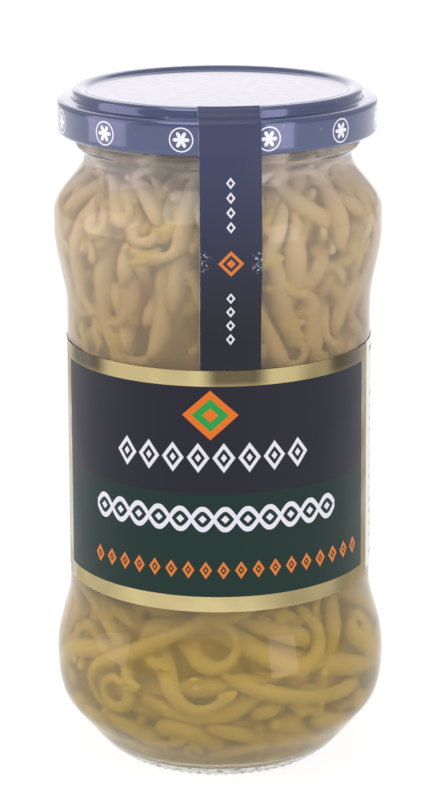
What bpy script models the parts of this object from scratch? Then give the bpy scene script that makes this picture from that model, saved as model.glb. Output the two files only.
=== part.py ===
"""A jar of bean sprouts: a clear waisted glass jar with a twist-off lid, its labels and
seal strip, and the sprouts that it holds in brine.

Metres, +Z up. The jar stands on z = 0 with its axis on the Z axis. Its front faces -Y,
and azimuths run from the front towards +X.
"""

import math
import random

import bpy
import bmesh
from mathutils import Matrix, Vector

MM = 0.001

# One turn of every round piece has this many faces, so that neighbours keep their gap
TURN_STEPS = 32
GAP = 0.3

# Glass jar: heights and radii of its form in millimetres, from the foot up
FOOT_RING_RADIUS = 23.8
FOOT_RING_INNER_RADIUS = 21.6
FOOT_CURVE = [(0.3, 24.3), (2.6, 27.0), (7.5, 31.0), (12.0, 34.4), (16.0, 35.5)]
BULGE_RADIUS = 35.75
BULGE_LOW_Z = 19.0
BULGE_HIGH_Z = 22.0
WAIST_LOW_Z = 38.5
WAIST_LOW_RADIUS = 32.6
WAIST_HIGH_Z = 98.5
WAIST_HIGH_RADIUS = 32.2
SHOULDER_LOW_Z = 115.5
SHOULDER_HIGH_Z = 119.0
SHOULDER_RADIUS = 34.5
NECK_Z = 131.0
NECK_RADIUS = 27.9
COLLAR_LOW_Z = 132.4
COLLAR_HIGH_Z = 134.2
COLLAR_RADIUS = 29.7
FINISH_RADIUS = 29.2
FINISH_TOP_Z = 141.3
LIP_RADIUS = 28.6
LIP_TOP_Z = 142.8
MOUTH_RADIUS = 26.1
GLASS_WALL = 2.2
FLOOR_CURVE = [(3.7, 21.8), (5.6, 25.6), (9.5, 29.9), (14.0, 32.7), (20.0, 33.5)]
FLOOR_CENTRE_Z = 5.2
PUSH_UP_Z = 2.4
THREAD_COUNT = 4
THREAD_RADIUS = 1.0
THREAD_SUNK = 0.3
THREAD_TURN = math.radians(52)
THREAD_TOP_Z = 140.2
THREAD_DROP = 1.5
THREAD_STATIONS = 6

# Twist-off lid: its outer surface in millimetres
LID_RADIUS = 33.25
LID_SHEET = 0.35
LID_EDGE_Z = 135.6
LID_SHOULDER_Z = 142.5
LID_SHOULDER_ROUND = 0.9
LID_STEP_RADIUS = 30.3
LID_BEAD_RADIUS = 28.9
LID_BEAD_TOP_Z = 144.65
LID_PANEL_RADIUS = 26.9
LID_PANEL_Z = 143.85
LID_CURL_RADIUS = 0.75
LUG_COUNT = 4
LUG_WIDTH = 9.0
LUG_TAPER = 0.7
LUG_INNER_RADIUS = 29.75
LUG_OUTER_RADIUS = 32.6
LUG_LOW_Z = 135.8
LUG_HIGH_Z = 137.2
LUG_AZIMUTH = math.radians(30)
GASKET_INNER_RADIUS = 27.4
GASKET_OUTER_RADIUS = 28.9
GASKET_THICKNESS = 0.7

# Labels and seal strip: paper, made thicker than life so that each is a solid
PAPER = 0.3
FRONT_LABEL_HEIGHTS = (40.9, 92.1)
FRONT_LABEL_SPAN = (math.radians(-78.4), math.radians(72.0))
BACK_LABEL_HEIGHTS = (41.9, 92.1)
BACK_LABEL_SPAN = (math.radians(72.8), math.radians(280.6))
LABEL_STEP = math.radians(7.5)
STRIP_WIDTH = 13.1
STRIP_AZIMUTH = math.radians(4.6)
STRIP_COLUMNS = 4

# Contents: the brine's level, its film round the sprouts, and the three bunches
FILL_Z = 133.0
BRINE_FLOOR_CENTRE_Z = 5.6
BRINE_FLOOR_RISE = 0.35
BRINE_FILM = 0.45
SPROUT_GAP = 0.9
CORE_DEPTH = 6.4
CORE_SIDES = 16
CORE_LEVELS = (0, 0.15, 0.4, 0.7, 0.9, 1)
STEM_RADIUS = 2.2
# A sprout's thickness from its seed leaves to its root, as shares of the stem's
SPROUT_FORM = (0.6, 1.2, 0.85, 1.0, 0.9, 0.5)
SPROUT_LENGTHS = (38.0, 48.0)
END_DIVE = 6.2
HOOK = math.radians(48)
BUNCH_MARGIN = 0.8
SECOND_LAYER_DEPTH = 3.6
LOWER_BUNCH = (7.4, 45.0)
MIDDLE_BUNCH = (45.4, 89.6)
UPPER_BUNCH = (90.0, 125.6)
TIP_COUNT = 5
TIP_CIRCLE = 15.0
TIP_ROOT = 6.0
TIP_TOP_Z = 135.4
SEED = 18

PART = bpy.data.collections.new("bean_sprout_jar")
CUTTERS = bpy.data.collections.new("bean_sprout_jar_cutters")


def clear_scene():
    for item in list(bpy.data.objects):
        bpy.data.objects.remove(item, do_unlink=True)
    for collection in (PART, CUTTERS):
        bpy.context.scene.collection.children.link(collection)


def make_material(name, colour, roughness, metallic=0.0, transmission=0.0):
    material = bpy.data.materials.new(name)
    material.use_nodes = True
    shader = material.node_tree.nodes["Principled BSDF"]
    shader.inputs["Base Color"].default_value = (*colour, 1.0)
    shader.inputs["Roughness"].default_value = roughness
    shader.inputs["Metallic"].default_value = metallic
    shader.inputs["Transmission Weight"].default_value = transmission
    material.diffuse_color = (*colour, 1.0)
    return material


def add_part(name, mesh, material):
    """Links a mesh as the named object, with its material on every face."""
    part = bpy.data.objects.new(name, mesh)
    mesh.materials.clear()
    mesh.materials.append(material)
    PART.objects.link(part)
    return part


def settle(part):
    """Applies an object's modifiers, and shades it smooth between its sharp edges."""
    graph = bpy.context.evaluated_depsgraph_get()
    mesh = bpy.data.meshes.new_from_object(part.evaluated_get(graph))
    part.modifiers.clear()
    part.data = mesh
    mesh.shade_smooth()
    mesh.set_sharp_from_angle(angle=math.radians(35))
    return part


def ease(value, low, high, start, end):
    """A smooth S from start to end as value runs from low to high."""
    share = min(max((value - low) / (high - low), 0.0), 1.0)
    return start + (end - start) * 0.5 * (1 - math.cos(math.pi * share))


def along(value, points):
    """The second number of rising points at a value of the first, on a smooth curve."""
    if value <= points[0][0]:
        return points[0][1]
    if value >= points[-1][0]:
        return points[-1][1]
    spot = max(i for i in range(len(points) - 1) if points[i][0] <= value)

    def slope(index):
        before, after = max(index - 1, 0), min(index + 1, len(points) - 1)
        rise = points[after][1] - points[before][1]
        return rise / (points[after][0] - points[before][0])

    run = points[spot + 1][0] - points[spot][0]
    share = (value - points[spot][0]) / run
    rest = 1 - share
    start, end = points[spot][1], points[spot + 1][1]
    level = start * (1 + 2 * share) * rest**2 + end * share**2 * (1 + 2 * rest)
    return level + run * share * rest * (slope(spot) * rest - slope(spot + 1) * share)


def glass_outer(z):
    """The jar's outer radius at a height, from the foot curve to the neck."""
    if z < BULGE_LOW_Z:
        return along(z, [*FOOT_CURVE, (BULGE_LOW_Z, BULGE_RADIUS)])
    if z < WAIST_LOW_Z:
        return ease(z, BULGE_HIGH_Z, WAIST_LOW_Z, BULGE_RADIUS, WAIST_LOW_RADIUS)
    if z < WAIST_HIGH_Z:
        share = (z - WAIST_LOW_Z) / (WAIST_HIGH_Z - WAIST_LOW_Z)
        return WAIST_LOW_RADIUS + share * (WAIST_HIGH_RADIUS - WAIST_LOW_RADIUS)
    if z < SHOULDER_LOW_Z:
        return ease(z, WAIST_HIGH_Z, SHOULDER_LOW_Z, WAIST_HIGH_RADIUS, SHOULDER_RADIUS)
    return ease(z, SHOULDER_HIGH_Z, NECK_Z, SHOULDER_RADIUS, NECK_RADIUS)


def glass_inner(z):
    """The jar's inner radius at a height, from the floor's edge to the neck."""
    if z < FLOOR_CURVE[-1][0]:
        return along(z, FLOOR_CURVE)
    return glass_outer(z) - GLASS_WALL


def brine_outer(z):
    """The brine's outer radius at a height: the glass's inside less the gap."""
    return glass_inner(z - BRINE_FLOOR_RISE * (z < FLOOR_CURVE[-1][0])) - GAP


def sprout_reach(z):
    """How far out a sprout's outer side may lie at a height, behind a film of brine."""
    return brine_outer(z) - BRINE_FILM - SPROUT_GAP


def turn(name, outline, material, closed=False):
    """Turns an outline of (radius, height) round the Z axis with a Screw modifier."""
    shape = bmesh.new()
    corners = [shape.verts.new((r * MM, 0, z * MM)) for r, z in outline]
    for first, second in zip(corners, corners[1:]):
        shape.edges.new((first, second))
    if closed:
        shape.edges.new((corners[-1], corners[0]))
    mesh = bpy.data.meshes.new(name)
    shape.to_mesh(mesh)
    shape.free()
    part = add_part(name, mesh, material)
    screw = part.modifiers.new("turn", "SCREW")
    screw.steps = TURN_STEPS
    screw.render_steps = TURN_STEPS
    screw.use_merge_vertices = True
    screw.merge_threshold = 0.00001
    return part


def tube_mesh(name, points, radii):
    """A six-sided tube through points, all in millimetres, as a mesh with welded caps."""
    curve = bpy.data.curves.new(name, "CURVE")
    curve.dimensions = "3D"
    curve.bevel_depth = MM
    curve.bevel_resolution = 1
    curve.use_fill_caps = True
    spline = curve.splines.new("POLY")
    spline.points.add(len(points) - 1)
    for knot, point, radius in zip(spline.points, points, radii):
        knot.co = (*(Vector(point) * MM), 1)
        knot.radius = radius
    guide = bpy.data.objects.new(name, curve)
    CUTTERS.objects.link(guide)
    graph = bpy.context.evaluated_depsgraph_get()
    mesh = bpy.data.meshes.new_from_object(guide.evaluated_get(graph))
    bpy.data.objects.remove(guide, do_unlink=True)
    bpy.data.curves.remove(curve)
    shape = bmesh.new()
    shape.from_mesh(mesh)
    bmesh.ops.remove_doubles(shape, verts=shape.verts, dist=0.01 * MM)
    bmesh.ops.recalc_face_normals(shape, faces=shape.faces)
    shape.to_mesh(mesh)
    shape.free()
    return mesh


def keep_outer_body(mesh):
    """Drops loose scraps and the small hollows that fusing seals: the largest shell stays."""
    shape = bmesh.new()
    shape.from_mesh(mesh)
    unseen = set(shape.faces)
    shells = []
    while unseen:
        front = [unseen.pop()]
        shell = []
        while front:
            face = front.pop()
            shell.append(face)
            joined = [edge for edge in face.edges if edge.is_manifold]
            near = {other for edge in joined for other in edge.link_faces} & unseen
            unseen -= near
            front += near
        shells.append(shell)
    shells.sort(key=len)
    for scrap in shells[:-1]:
        bmesh.ops.delete(shape, geom=scrap, context="FACES")
    shape.to_mesh(mesh)
    shape.free()


def join_all(part, meshes, operation="UNION", solver="EXACT"):
    """One Boolean of a part with a collection of meshes, applied. The collection goes."""
    group = bpy.data.collections.new(part.name + "_pieces")
    CUTTERS.children.link(group)
    for index, mesh in enumerate(meshes):
        group.objects.link(bpy.data.objects.new(f"{part.name}_piece_{index}", mesh))
    joint = part.modifiers.new("join", "BOOLEAN")
    joint.operation = operation
    joint.operand_type = "COLLECTION"
    joint.collection = group
    joint.solver = solver
    settle(part)
    for item in list(group.objects):
        bpy.data.objects.remove(item, do_unlink=True)
    bpy.data.collections.remove(group)
    return part


def thread_mesh(index):
    """One short sloping thread round the finish, its foot sunk into the wall."""
    reach = FINISH_RADIUS + THREAD_SUNK
    points = []
    radii = []
    for step in range(THREAD_STATIONS):
        share = step / (THREAD_STATIONS - 1)
        angle = 2 * math.pi * index / THREAD_COUNT + THREAD_TURN * share
        height = THREAD_TOP_Z - THREAD_DROP * share
        points.append((reach * math.sin(angle), -reach * math.cos(angle), height))
        radii.append(THREAD_RADIUS * (0.5 if step in (0, THREAD_STATIONS - 1) else 1.0))
    return tube_mesh(f"thread_{index}", points, radii)


def make_glass_jar(material):
    """The jar in one outline: its inside from the floor up, the finish, the outside, the foot."""
    outline = [(0, FLOOR_CENTRE_Z), (11, FLOOR_CENTRE_Z - 0.5), (18.4, FLOOR_CURVE[0][0])]
    inside = (FLOOR_CURVE[0][0], 5.6, 9.5, 14.0, 20.0, 25.5, 29.5, 33.5, WAIST_LOW_Z)
    outline += [(glass_inner(z), z) for z in inside]
    inside = (WAIST_HIGH_Z, 103.5, 108.5, SHOULDER_LOW_Z, SHOULDER_HIGH_Z, 122.6, 127.0)
    outline += [(glass_inner(z), z) for z in inside]
    outline += [(NECK_RADIUS - GLASS_WALL, NECK_Z), (MOUTH_RADIUS, COLLAR_HIGH_Z)]
    outline += [(MOUTH_RADIUS, LIP_TOP_Z - 0.8), (MOUTH_RADIUS + 0.6, LIP_TOP_Z)]
    outline += [(LIP_RADIUS - 0.5, LIP_TOP_Z), (LIP_RADIUS, LIP_TOP_Z - 0.6)]
    outline += [(LIP_RADIUS, FINISH_TOP_Z + 0.4), (FINISH_RADIUS, FINISH_TOP_Z)]
    outline += [(FINISH_RADIUS, COLLAR_HIGH_Z + 0.5), (COLLAR_RADIUS, COLLAR_HIGH_Z)]
    outline += [(COLLAR_RADIUS, COLLAR_LOW_Z + 0.4), (NECK_RADIUS + 0.6, COLLAR_LOW_Z - 0.3)]
    outside = (NECK_Z, 128.6, 126.4, 124.0, 121.6, SHOULDER_HIGH_Z, SHOULDER_LOW_Z)
    outside += (110.0, 106.5, 103.0, WAIST_HIGH_Z, WAIST_LOW_Z, 35.0, 32.0, 29.0, 25.5)
    outside += (BULGE_HIGH_Z, BULGE_LOW_Z, 16.0, 12.0, 7.5, 2.6, 0.3)
    outline += [(glass_outer(z), z) for z in outside]
    outline += [(FOOT_RING_RADIUS, 0), (FOOT_RING_INNER_RADIUS, 0)]
    outline += [(FOOT_RING_INNER_RADIUS - 1, 0.5), (18.5, 1.4), (0, PUSH_UP_Z)]
    jar = turn("glass_jar", outline, material)
    settle(jar)
    return join_all(jar, [thread_mesh(index) for index in range(THREAD_COUNT)])


def lid_outline():
    """The lid's outer surface: the centre panel, the bead, the step, the skirt, the curl."""
    rise = LID_BEAD_TOP_Z - LID_PANEL_Z
    points = [(0, LID_PANEL_Z), (LID_PANEL_RADIUS, LID_PANEL_Z)]
    points += [(LID_PANEL_RADIUS + 0.7, LID_PANEL_Z + rise * 0.55)]
    points += [(LID_BEAD_RADIUS - 0.4, LID_BEAD_TOP_Z)]
    points += [(LID_BEAD_RADIUS + 0.2, LID_BEAD_TOP_Z - 0.05)]
    points += [(LID_STEP_RADIUS - 0.55, LID_BEAD_TOP_Z - 0.6)]
    points += [(LID_STEP_RADIUS, LID_SHOULDER_Z + 0.15), (LID_STEP_RADIUS + 0.4, LID_SHOULDER_Z)]
    corner = LID_RADIUS - LID_SHOULDER_ROUND
    for step in range(3):
        angle = math.radians(90 - 45 * step)
        height = LID_SHOULDER_Z - LID_SHOULDER_ROUND + LID_SHOULDER_ROUND * math.sin(angle)
        points.append((corner + LID_SHOULDER_ROUND * math.cos(angle), height))
    for step in range(5):
        angle = math.radians(-50 * step)
        height = LID_EDGE_Z + LID_CURL_RADIUS * (1 + math.sin(angle))
        points.append((LID_RADIUS - LID_CURL_RADIUS * (1 - math.cos(angle)), height))
    return points


def lug_mesh(index):
    """One lug: the curl pressed inwards under a thread, as a block with a tapered nose."""
    shape = bmesh.new()
    bmesh.ops.create_cube(shape, size=1.0)
    for corner in shape.verts:
        nose = corner.co.y > 0
        corner.co.x *= LUG_WIDTH * (LUG_TAPER if nose else 1.0)
        corner.co.y = -(LUG_INNER_RADIUS if nose else LUG_OUTER_RADIUS)
        corner.co.z = LUG_HIGH_Z if corner.co.z > 0 else LUG_LOW_Z
    angle = LUG_AZIMUTH + 2 * math.pi * index / LUG_COUNT
    place = Matrix.Scale(MM, 4) @ Matrix.Rotation(angle, 4, "Z")
    bmesh.ops.transform(shape, matrix=place, verts=shape.verts)
    mesh = bpy.data.meshes.new(f"lug_{index}")
    shape.to_mesh(mesh)
    shape.free()
    return mesh


def make_lid_cap(material):
    lid = turn("lid_cap", lid_outline(), material)
    wall = lid.modifiers.new("sheet", "SOLIDIFY")
    wall.thickness = LID_SHEET * MM
    wall.offset = -1
    settle(lid)
    return join_all(lid, [lug_mesh(index) for index in range(LUG_COUNT)])


def make_lid_gasket(material):
    """The ring of sealing compound between the lid's channel and the glass lip."""
    low = LIP_TOP_Z + GAP
    high = low + GASKET_THICKNESS
    outline = [(GASKET_INNER_RADIUS, low + 0.35), (GASKET_INNER_RADIUS + 0.7, high)]
    outline += [(GASKET_OUTER_RADIUS, high), (GASKET_OUTER_RADIUS, low)]
    outline += [(GASKET_INNER_RADIUS, low)]
    return settle(turn("lid_gasket", outline, material, closed=True))


def paper_sheet(name, columns, place, rows, material):
    """A bent sheet of paper: a grid whose points place(column share, row) puts in space."""
    shape = bmesh.new()
    bmesh.ops.create_grid(shape, x_segments=columns, y_segments=rows - 1, size=0.5)
    for corner in shape.verts:
        across = corner.co.x + 0.5
        row = round((corner.co.y + 0.5) * (rows - 1))
        corner.co = Vector(place(across, row)) * MM
    bmesh.ops.recalc_face_normals(shape, faces=shape.faces)
    mesh = bpy.data.meshes.new(name)
    shape.to_mesh(mesh)
    shape.free()
    sheet = add_part(name, mesh, material)
    wall = sheet.modifiers.new("paper", "SOLIDIFY")
    wall.thickness = PAPER * MM
    wall.offset = 0
    wall.use_even_offset = True
    return settle(sheet)


def make_label(name, heights, span, material):
    """A label wrapped round the waist between two azimuths."""

    def place(across, row):
        angle = span[0] + across * (span[1] - span[0])
        radius = glass_outer(heights[row]) + GAP + PAPER / 2
        return radius * math.sin(angle), -radius * math.cos(angle), heights[row]

    columns = math.ceil((span[1] - span[0]) / LABEL_STEP)
    return paper_sheet(name, columns, place, len(heights), material)


def make_seal_strip(material):
    """The strip: over the lid's bead and step, down the skirt, across to the shoulder."""
    lift = GAP + PAPER / 2
    side = LID_RADIUS + lift + 0.02
    outline = [(LID_BEAD_RADIUS + 0.45, LID_BEAD_TOP_Z + 0.2), (30.15, 144.15), (30.95, 143.3)]
    outline += [(32.2, LID_SHOULDER_Z + lift + 0.03), (33.1, 142.75), (33.6, 142.2)]
    outline += [(side, 141.3), (side, 138.5), (side, LID_EDGE_Z)]
    outline += [(34.0, 131.5), (34.35, 127.0), (34.7, 122.5)]
    on_glass = (118.6, SHOULDER_LOW_Z, 112.0, 109.5, 107.0, 104.5, 102.0, WAIST_HIGH_Z)
    outline += [(glass_outer(z) + lift, z) for z in on_glass]
    end = FRONT_LABEL_HEIGHTS[1] + GAP + 0.1
    outline.append((glass_outer(end) + lift, end))

    def place(across, row):
        radius, height = outline[row]
        angle = STRIP_AZIMUTH + (across - 0.5) * STRIP_WIDTH / radius
        return radius * math.sin(angle), -radius * math.cos(angle), height

    return paper_sheet("seal_strip", STRIP_COLUMNS, place, len(outline), material)


def core_mesh(name, heights):
    """The smaller core of a bunch: a faceted drum that follows the jar's inside."""
    shape = bmesh.new()
    rings = []
    for share in CORE_LEVELS:
        z = heights[0] + (heights[1] - heights[0]) * share
        radius = sprout_reach(z) - CORE_DEPTH
        angles = [2 * math.pi * side / CORE_SIDES for side in range(CORE_SIDES)]
        ring = [Vector((radius * math.cos(a), radius * math.sin(a), z)) * MM for a in angles]
        rings.append([shape.verts.new(point) for point in ring])
    for lower, upper in zip(rings, rings[1:]):
        for side in range(CORE_SIDES):
            after = (side + 1) % CORE_SIDES
            shape.faces.new((lower[side], lower[after], upper[after], upper[side]))
    shape.faces.new(list(reversed(rings[0])))
    shape.faces.new(rings[-1])
    mesh = bpy.data.meshes.new(name)
    shape.to_mesh(mesh)
    shape.free()
    return mesh


def sprout_mesh(name, draw, heights, spot, lean, curl, depth):
    """One sprout along the jar's inside: a hooked head, a stem and a root. Its ends dive."""
    azimuth, z = spot
    last = len(SPROUT_FORM) - 1
    step = draw.uniform(*SPROUT_LENGTHS) / last
    points = []
    radii = [STEM_RADIUS * share * draw.uniform(0.94, 1.04) for share in SPROUT_FORM]
    for knot, radius in enumerate(radii):
        dive = END_DIVE * abs(2 * knot / last - 1) ** 5
        low = heights[0] + radius + BUNCH_MARGIN
        high = heights[1] - radius - BUNCH_MARGIN
        z = min(max(z, low), high)
        reach = sprout_reach(z) - radius - depth - dive
        points.append((reach * math.sin(azimuth), -reach * math.cos(azimuth), z))
        azimuth += math.sin(lean) * step / reach
        z += math.cos(lean) * step
        lean += math.copysign(HOOK, curl) if knot == 0 else curl
    return tube_mesh(name, points, radii)


def bunch_meshes(name, heights, count, rows, leans, curls, seed):
    """The sprouts of a bunch, even round the jar, in rows and in two layers of depth."""
    draw = random.Random(seed)
    meshes = []
    for index in range(count):
        azimuth = 2 * math.pi * (index + 0.5 * draw.random()) / count
        share = (index % rows + 0.5 + 0.4 * (draw.random() - 0.5)) / rows
        side = 1 if index % 2 else -1
        lean = side * math.radians(draw.uniform(*leans))
        rise = math.cos(lean) * SPROUT_LENGTHS[0] / 2
        spot = (azimuth, heights[0] + (heights[1] - heights[0]) * share - rise)
        curl = math.radians(draw.uniform(*curls)) * draw.choice((-1, 1))
        depth = SECOND_LAYER_DEPTH * (index % 2)
        meshes.append(sprout_mesh(f"{name}_{index}", draw, heights, spot, lean, curl, depth))
    return meshes


def tip_meshes(grow):
    """The few sprouts of the upper bunch that break the brine's surface."""
    draw = random.Random(SEED)
    meshes = []
    for index in range(TIP_COUNT):
        angle = 2 * math.pi * (index + 0.3 * draw.random()) / TIP_COUNT
        out = TIP_CIRCLE + draw.uniform(-6, 2)
        sway = draw.uniform(-3, 3)
        start = Vector((out * math.sin(angle), -out * math.cos(angle), UPPER_BUNCH[1] - TIP_ROOT))
        bend = start + Vector((sway * 0.4, sway * 0.3, TIP_ROOT + 1.5))
        end = Vector((start.x + sway, start.y - sway, TIP_TOP_Z - 1.2 * draw.random() + grow))
        radii = [STEM_RADIUS * share + grow for share in (0.9, 0.95, 0.7)]
        meshes.append(tube_mesh(f"tip_{index}", [start, bend, end], radii))
    return meshes


def make_bunch(name, heights, sprouts, material):
    bunch = add_part(name, core_mesh(name, heights), material)
    join_all(bunch, sprouts, solver="MANIFOLD")
    keep_outer_body(bunch.data)


def make_brine(material):
    """The brine: a film, a floor and a top layer round the plain hole that the sprouts fill."""
    wall = (122.6, SHOULDER_HIGH_Z, SHOULDER_LOW_Z, 108.5, 103.5, WAIST_HIGH_Z)
    wall += (WAIST_LOW_Z, 33.5, 29.5, 25.5, 20.0, 14.4, 9.9)
    outline = [(0, FILL_Z), (brine_outer(FILL_Z), FILL_Z)]
    outline += [(brine_outer(z), z) for z in (NECK_Z, 127.0, UPPER_BUNCH[1], *wall, 6.0, 4.6)]
    outline += [(18.4, 4.1), (11, BRINE_FLOOR_CENTRE_Z - 0.5), (0, BRINE_FLOOR_CENTRE_Z)]
    brine = settle(turn("brine", outline, material))
    low = LOWER_BUNCH[0] - GAP
    high = UPPER_BUNCH[1] + GAP
    outline = [(0, high), (brine_outer(high) - BRINE_FILM, high)]
    outline += [(brine_outer(z) - BRINE_FILM, z) for z in (*wall, low)]
    outline.append((0, low))
    hole = settle(turn("brine_hole", outline, material))
    join_all(hole, tip_meshes(GAP), solver="MANIFOLD")
    hollow = hole.data
    bpy.data.objects.remove(hole, do_unlink=True)
    return join_all(brine, [hollow], operation="DIFFERENCE", solver="MANIFOLD")


def main():
    clear_scene()
    glass = make_material("clear_glass", (0.93, 0.95, 0.93), 0.04, transmission=1.0)
    lacquer = make_material("blue_lacquer", (0.09, 0.11, 0.24), 0.22, metallic=0.2)
    compound = make_material("sealing_compound", (0.86, 0.84, 0.78), 0.6)
    strip_paper = make_material("dark_strip_paper", (0.045, 0.05, 0.10), 0.4)
    label_paper = make_material("dark_label_paper", (0.03, 0.05, 0.06), 0.4)
    pale_paper = make_material("pale_label_paper", (0.85, 0.83, 0.76), 0.6)
    liquor = make_material("brine", (0.78, 0.66, 0.40), 0.05, transmission=0.9)
    flesh = make_material("sprout_flesh", (0.74, 0.65, 0.42), 0.45)

    make_glass_jar(glass)
    make_lid_cap(lacquer)
    make_lid_gasket(compound)
    make_seal_strip(strip_paper)
    make_label("front_label", FRONT_LABEL_HEIGHTS, FRONT_LABEL_SPAN, label_paper)
    make_label("back_label", BACK_LABEL_HEIGHTS, BACK_LABEL_SPAN, pale_paper)

    lower = bunch_meshes("low", LOWER_BUNCH, 24, 3, (20, 70), (4, 22), SEED)
    middle = bunch_meshes("middle", MIDDLE_BUNCH, 8, 1, (5, 30), (2, 10), SEED + 1)
    upper = bunch_meshes("high", UPPER_BUNCH, 21, 3, (3, 32), (2, 12), SEED + 2)
    make_bunch("sprouts_lower", LOWER_BUNCH, lower, flesh)
    make_bunch("sprouts_middle", MIDDLE_BUNCH, middle, flesh)
    make_bunch("sprouts_upper", UPPER_BUNCH, upper + tip_meshes(0), flesh)
    make_brine(liquor)


main()
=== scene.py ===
"""The looks of the jar of bean sprouts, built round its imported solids.

Lengths and places are in millimetres, and MM makes them metres. The jar stands on z = 0
with its axis on the Z axis. Azimuths run from the front, -Y, towards +X.
"""

import math
import random

import bmesh
import bpy
import numpy as np
from mathutils import Matrix, Vector


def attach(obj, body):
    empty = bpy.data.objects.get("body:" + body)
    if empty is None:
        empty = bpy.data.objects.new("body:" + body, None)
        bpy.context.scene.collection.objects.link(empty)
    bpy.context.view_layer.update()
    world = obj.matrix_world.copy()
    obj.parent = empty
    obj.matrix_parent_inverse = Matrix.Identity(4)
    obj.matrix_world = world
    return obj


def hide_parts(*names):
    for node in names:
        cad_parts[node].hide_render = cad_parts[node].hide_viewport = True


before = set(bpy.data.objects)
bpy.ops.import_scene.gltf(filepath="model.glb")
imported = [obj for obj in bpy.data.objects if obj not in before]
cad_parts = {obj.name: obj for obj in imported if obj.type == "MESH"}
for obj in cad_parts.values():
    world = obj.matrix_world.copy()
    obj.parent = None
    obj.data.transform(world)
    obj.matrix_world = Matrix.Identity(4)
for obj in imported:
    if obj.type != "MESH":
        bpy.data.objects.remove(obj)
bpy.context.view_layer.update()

MM = 0.001
BODY = "root"
GOLDEN_TURN = math.radians(137.508)

# The camera, which looks at the front from a little above
CAMERA_PLACE = (0.0, -500.0, 220.89)
CAMERA_PITCH = math.radians(16.078)
CAMERA_YAW = math.radians(-0.075)
CAMERA_ROLL = math.radians(-0.26)
CAMERA_LENS = 109.0
CAMERA_SENSOR = 36.0

# Lamps: azimuth, elevation, distance and size in metres, power in watts and colour
LAMPS = {
    "right box": (44, 18, 0.55, (0.20, 0.46), 0.5, (1.0, 0.86, 0.92)),
    "left box": (-84, 18, 0.55, (0.38, 0.46), 0.72, (1.0, 0.86, 0.94)),
    "back box": (180, 22, 1.6, (1.3, 1.0), 2.95, (1.0, 0.93, 0.965)),
    "top box": (-12, 74, 1.4, (1.2, 1.2), 8.4, (1.0, 1.0, 1.0)),
}
LAMP_TARGET = Vector((0, 0, 0.075))
ROOM_COLOUR = (0.95, 0.95, 1.0, 1.0)
ROOM_STRENGTH = 0.68
FLOOR_RADIUS = 9000.0

# Glass jar: heights and radii of its form, from the foot up
UNDERSIDE_RADII = (4, 8, 12, 15, 17.5, 19.2, 20.4)
UNDERSIDE_EDGE_Z = 0.6
PUSH_UP_Z = 2.4
FOOT_RING_RADIUS = 21.6
FOOT_RING = [(21.0, 0.35), (FOOT_RING_RADIUS, 0.06), (22.2, 0), (22.9, 0), (23.5, 0.03), (24.0, 0.14)]
FOOT_CURVE = [(0.3, 24.3), (2.6, 27.0), (7.5, 31.0), (12.0, 34.4), (16.0, 35.5)]
BULGE_RADIUS = 35.75
BULGE_LOW_Z = 19.0
BULGE_HIGH_Z = 22.0
WAIST_LOW_Z = 38.5
WAIST_LOW_RADIUS = 32.6
WAIST_HIGH_Z = 98.5
WAIST_HIGH_RADIUS = 32.2
SHOULDER_LOW_Z = 115.5
SHOULDER_HIGH_Z = 119.0
SHOULDER_RADIUS = 34.5
NECK_Z = 131.0
NECK_RADIUS = 27.9
COLLAR_Z = 133.3
COLLAR_RADIUS = 29.75
FINISH_RADIUS = 29.2
FINISH_TOP_Z = 141.3
LIP_RADIUS = 28.6
LIP_ROUND = 0.7
LIP_TOP_Z = 142.8
MOUTH_RADIUS = 26.1
GLASS_WALL = 2.2
COLLAR = [
    (NECK_RADIUS + 0.15, 131.7), (NECK_RADIUS + 0.75, 132.3), (COLLAR_RADIUS - 0.3, 132.7),
    (COLLAR_RADIUS, COLLAR_Z), (COLLAR_RADIUS - 0.15, 133.9), (FINISH_RADIUS + 0.1, 134.4),
]
OUTSIDE_LEVELS = ((0.3, 8.0, 0.55), (9.0, WAIST_LOW_Z, 1.5), (50.0, 90.0, 20.0), (WAIST_HIGH_Z, NECK_Z, 1.4))
WAIST_LEVELS = (90.0, 70.0, 50.0)
FLOOR_CURVE = [(3.7, 21.8), (5.6, 25.6), (9.5, 29.9), (14.0, 32.7), (20.0, 33.5)]
FLOOR_EDGE_Z, FLOOR_EDGE_RADIUS = FLOOR_CURVE[0]
FLOOR_RADII = (19.0, 15.0, 11.0, 7.0, 3.0, 0.0)
FLOOR_CENTRE_Z = 5.2
GLASS_STEPS = 320
FOOT_RIBS = 80
FOOT_RIB_DEPTH = 0.28
STIPPLE_Z = 3.0
THREAD_COUNT = 4
THREAD_TURN = math.radians(52)
THREAD_TOP_Z = 140.2
THREAD_DROP = 1.5
THREAD_DEPTH = 1.2
THREAD_WIDTH = 1.0

# Twist-off lid: its outer surface, its gasket and the row of rosettes on its skirt
LID_RADIUS = 33.25
LID_SHEET = 0.24
LID_EDGE_Z = 135.6
LID_SHOULDER_Z = 142.5
LID_SHOULDER_ROUND = 1.15
LID_STEP_RADIUS = 30.3
LID_BEAD_ROUND = 1.1
LID_BEAD_TOP_Z = 144.65
LID_PANEL_RADIUS = 26.9
LID_PANEL_Z = 143.85
LID_CURL_RADIUS = 0.75
LID_STEPS = 256
LUG_COUNT = 4
LUG_WIDTH = 9.0
LUG_DEPTH = 2.6
LUG_REACH = 1.7
LUG_AZIMUTH = math.radians(30)
GASKET_INNER_RADIUS = 27.4
GASKET_OUTER_RADIUS = 28.9
GASKET_THICKNESS = 0.7
GASKET_GAP = 0.3
ROSETTE_COUNT = 12
ROSETTE_SHIFT = 1.5
ROSETTE_Z = 138.9
ROSETTE_RING = (2.15, 2.5)

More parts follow.
